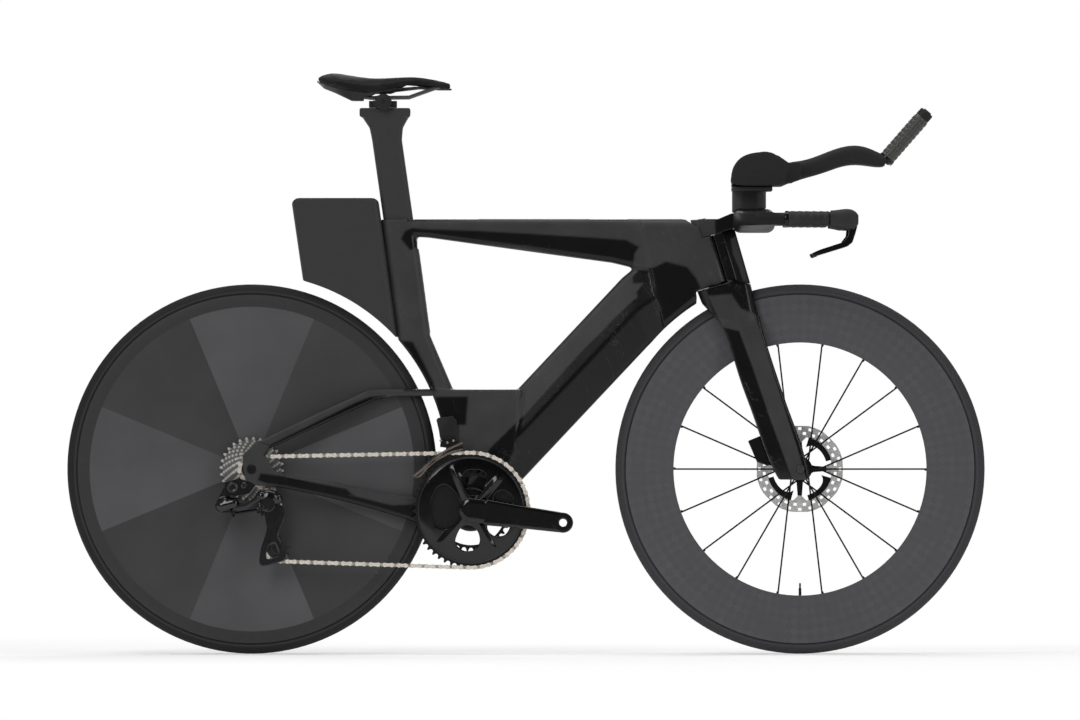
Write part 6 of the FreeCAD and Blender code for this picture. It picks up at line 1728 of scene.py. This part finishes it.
    def sleeve(self, mesh: Mesh, start: Vector, end: Vector, radius: float,
               relief: Callable[[float, float], float], sides: int, step: float) -> None:
        """Closed tube with a relief.

        Args:
            mesh: Mesh that gets the tube.
            start: Middle of its first end.
            end: Middle of its last end.
            radius: Radius without the relief.
            relief: Function of the distance along and the share of a turn.
            sides: Number of sides.
            step: Distance between its rings.
        """
        axis = (end - start).normalized()
        place = aimed(start, axis)
        length = (end - start).length
        count = max(2, round(length / step))
        disc = bmesh.ops.create_circle(mesh, cap_ends=True, radius=radius, segments=sides, matrix=place)
        ring = disc["verts"]
        rings = [ring]
        edges = list(dict.fromkeys(edge for vert in ring for edge in vert.link_edges))
        for _ in range(count):
            grown = bmesh.ops.extrude_edge_only(mesh, edges=edges)["geom"]
            ring = [item for item in grown if isinstance(item, bmesh.types.BMVert)]
            edges = [item for item in grown if isinstance(item, bmesh.types.BMEdge)]
            edges = [edge for edge in edges if all(vert in ring for vert in edge.verts)]
            bmesh.ops.translate(mesh, verts=ring, vec=axis * length / count)
            rings.append(ring)
        bmesh.ops.contextual_create(mesh, geom=edges)
        inverse = place.inverted()
        for i, ring in enumerate(rings):
            for vert in ring:
                local = inverse @ vert.co
                turn = math.atan2(local.y, local.x) / math.tau
                fade = min(1.0, i / 2, (count - i) / 2)
                scale = 1 + (relief(local.z, turn) * fade - (1 - fade) * self.end_tuck) / radius
                vert.co = place @ Vector((local.x * scale, local.y * scale, local.z))


@dataclass
class Seat(Assembly):
    """Post, clamp, rails, shell and cover."""

    solids = ((RAIL_CARBON, "saddle_rails"),)
    voxel: float = 1.4 * MM
    post_voxel: float = 1.6 * MM
    clamp_voxel: float = 0.7 * MM
    cover_voxel: float = 3 * MM
    cover_swell: float = 2 * MM
    cover_fill: float = 0.9
    nose_pixels: tuple[float, float] = (352, 425)
    nose_lift: float = 5 * MM
    cheek_pixel: Pixel = (383.5, 102)
    cheek_radius: float = 15 * MM

    def build(self) -> list[Piece]:
        """Moulds the post, the clamp and the saddle."""
        post = moulded("seatpost", BARE_CARBON, self.post_voxel, rounds=16)
        nodes = ("saddle_clamp_base", "saddle_cradle")
        clamp = [moulded(node, CLAMP_ALLOY, self.clamp_voxel, rounds=8) for node in nodes]
        shell = moulded("saddle_shell", DARK_PLASTIC, self.voxel, rounds=6)
        return [post, *clamp, shell, self.cover(), self.discs()]

    def cover(self) -> Piece:
        """Cover, fuller over the nose than the solid."""
        cover = puffed("saddle_cover", SADDLE_SKIN, self.cover_voxel, self.cover_swell, self.cover_fill)
        start, end = [spot((pixel, 0)).x for pixel in self.nose_pixels]
        tops = [0.5 + 0.5 * vert.normal.z for vert in cover.data.vertices]
        for vert, top in zip(cover.data.vertices, tops):
            share = min(1.0, max(0.0, (vert.co.x - start) / (end - start)))
            vert.co.z += self.nose_lift * share * share * (3 - 2 * share) * top
        return cover

    def discs(self) -> Piece:
        """Round cheeks of the cradle, each with its bolt's socket."""
        mesh = bmesh.new()
        face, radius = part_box("saddle_cradle")[1].y, self.cheek_radius
        profile = [(0, -1 * MM), (3 * MM, -1 * MM), (3 * MM, 1.4 * MM), (radius - 3 * MM, 1.8 * MM),
                   (radius, 0.4 * MM), (radius, -3 * MM)]
        for side in SIDES:
            turned(profile, spot(self.cheek_pixel, side * face), ACROSS * side, steps=40, mesh=mesh)
        return to_piece("cradle_cheeks", mesh, CLAMP_ALLOY, "saddle", crisp=True)


class LampRole(Enum):
    """What a lamp does in the studio."""

    KEY = "key"
    FILL = "fill"
    TOP = "top"
    BACK = "back"


@dataclass
class Studio:
    """Pale floor, soft lamps, white surroundings and the camera of the photograph."""

    floor_radius: float = 2.6
    floor_lift: float = 0.16
    fade_start: float = 1.0
    front_dim: float = 0.2
    dim: float = 0.36
    aim_height: float = 0.5
    distance: float = 40.0
    sensor: float = 36.0
    image_pixels: tuple[int, int] = (1080, 720)
    lamps: tuple = (
        (LampRole.KEY, (-1.6, -3.2, 2.6), (1.0, 2.4), 46.0),
        (LampRole.FILL, (2.6, -2.6, 1.5), (1.0, 2.0), 20.0),
        (LampRole.TOP, (0.0, 0.0, 3.4), (3.0, 1.0), 36.0),
        (LampRole.BACK, (0.6, 3.4, 2.2), (2.4, 1.6), 42.0),
    )

    def build(self) -> None:
        """Sets the stage."""
        bpy.context.scene.view_settings.view_transform = "Standard"
        self.floor()
        self.surroundings()
        for role, place, size, power in self.lamps:
            self.lamp(role, Vector(place), size, power)
        self.camera()

    def floor(self) -> None:
        """Round pale floor."""
        mesh = bmesh.new()
        bmesh.ops.create_circle(mesh, cap_ends=True, radius=self.floor_radius, segments=96)
        bmesh.ops.translate(mesh, verts=mesh.verts, vec=-UP * 0.5 * MM)
        data = bpy.data.meshes.new("floor")
        mesh.to_mesh(data)
        mesh.free()
        material = bpy.data.materials.new("Matt white floor")
        material.use_nodes = True
        tree = material.node_tree
        tree.nodes.clear()
        matt = add_node(tree, "BsdfDiffuse", {"Color": linear("#F6F6F6")})
        lift = add_node(tree, "Math", {0: self.seen(tree), 1: self.floor_lift}, operation="MULTIPLY")[0]
        glow = add_node(tree, "Emission", {"Strength": lift})
        lit = add_node(tree, "AddShader", {0: matt[0], 1: glow[0]})
        place = add_node(tree, "TexCoord")["Object"]
        away = add_node(tree, "VectorMath", {0: place}, operation="LENGTH")["Value"]
        fade = add_node(tree, "MapRange", {0: away, 1: self.fade_start, 2: self.floor_radius})[0]
        white = add_node(tree, "Emission", {"Strength": self.seen(tree)})
        shader = add_node(tree, "MixShader", {0: fade, 1: lit[0], 2: white[0]})
        add_node(tree, "OutputMaterial", {"Surface": shader[0]})
        data.materials.append(material)
        floor = bpy.data.objects.new("floor", data)
        bpy.context.scene.collection.objects.link(floor)
        floor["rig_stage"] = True

    def seen(self, tree: Tree) -> Socket:
        """Whether a ray comes from the eye, a reflection or glass.

        Args:
            tree: Tree that gets the nodes.

        Returns:
            1 for such a ray and 0 for other light.
        """
        path = add_node(tree, "LightPath")
        seen = add_node(tree, "Math", {0: path["Is Camera Ray"], 1: path["Is Glossy Ray"]},
                        operation="MAXIMUM")
        return add_node(tree, "Math", {0: seen[0], 1: path["Is Transmission Ray"]}, operation="MAXIMUM")[0]

    def surroundings(self) -> None:
        """White to the eye; dim overhead and behind the camera in reflections; dimmer as a light."""
        world = bpy.data.worlds.new("studio")
        bpy.context.scene.world = world
        world.use_nodes = True
        tree = world.node_tree
        tree.nodes.clear()
        path = add_node(tree, "LightPath")
        eye = add_node(tree, "Math", {0: path["Is Camera Ray"], 1: path["Is Transmission Ray"]},
                       operation="MAXIMUM")[0]
        aim = add_node(tree, "TexCoord")["Generated"]
        axes = add_node(tree, "SeparateXYZ", {0: aim})
        low = add_node(tree, "MapRange", {0: axes["Z"], 1: 0.02, 2: 0.2, 3: 1.0, 4: 0.22})[0]
        side = add_node(tree, "MapRange", {0: axes["Y"], 1: -0.85, 2: -0.4, 3: self.front_dim, 4: 1.0})[0]
        mirror = add_node(tree, "Math", {0: low, 1: side}, operation="MULTIPLY")[0]
        light = add_node(tree, "MapRange", {0: path["Is Glossy Ray"], 3: self.dim, 4: mirror})[0]
        strength = add_node(tree, "MapRange", {0: eye, 3: light, 4: 1.0})[0]
        sky = add_node(tree, "Background", {"Color": linear("#FFFFFF"), "Strength": strength})
        add_node(tree, "OutputWorld", {"Surface": sky[0]})

    def lamp(self, role: LampRole, place: Vector, size: tuple[float, float], power: float) -> None:
        """Soft box aimed at the middle of the bike.

        Args:
            role: What the lamp does.
            place: Its middle.
            size: Width and height.
            power: Power in watts.
        """
        light = bpy.data.lights.new(f"{role.value}_lamp", "AREA")
        light.shape, light.size, light.size_y, light.energy = "RECTANGLE", *size, power
        lamp = bpy.data.objects.new(light.name, light)
        lamp.matrix_world = aimed(place, UP * self.aim_height - place, "-Z")
        lamp.visible_camera = False
        bpy.context.scene.collection.objects.link(lamp)

    def camera(self) -> None:
        """Long lens, square on the right side."""
        data = bpy.data.cameras.new("camera")
        width, height = self.image_pixels
        data.sensor_width = self.sensor
        data.lens = self.sensor * self.distance / (width * PIXEL)
        data.clip_end = 2 * self.distance
        camera = bpy.data.objects.new("camera", data)
        middle = spot((width / 2, height / 2), -self.distance)
        camera.matrix_world = aimed(middle, ACROSS, "-Z")
        bpy.context.scene.collection.objects.link(camera)
        bpy.context.scene.camera = camera


def write_sizes() -> None:
    """Works out the box of the solids and the box of the looks, and keeps neither."""
    boxes = {"cad": CAD_BOX, "visual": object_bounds()}
    {name: [list(corner) for corner in box] for name, box in boxes.items()}


def main() -> None:
    """Builds the sub-assemblies in order and reports their pieces."""
    Studio().build()
    rotors = (Rotor(FRONT_AXLE, "front_wheel", FRONT_STEEL, "front_rotor", ("front_rotor_carrier",)),
              Rotor(REAR_AXLE, "rear_wheel", REAR_STEEL, "rear_rotor"))
    assemblies = (Monocoque(), Fork(), RearWheel(), FrontWheel(), *rotors, Crankset(), Transmission(),
                  Brakes(), Cockpit(), Seat())
    for assembly in assemblies:
        for piece in assembly.build():
            log.info("%s: %s, %d faces", type(assembly).__name__, piece.name, len(piece.data.polygons))
        assembly.dress()
    write_sizes()


if __name__ == "__main__":
    main()
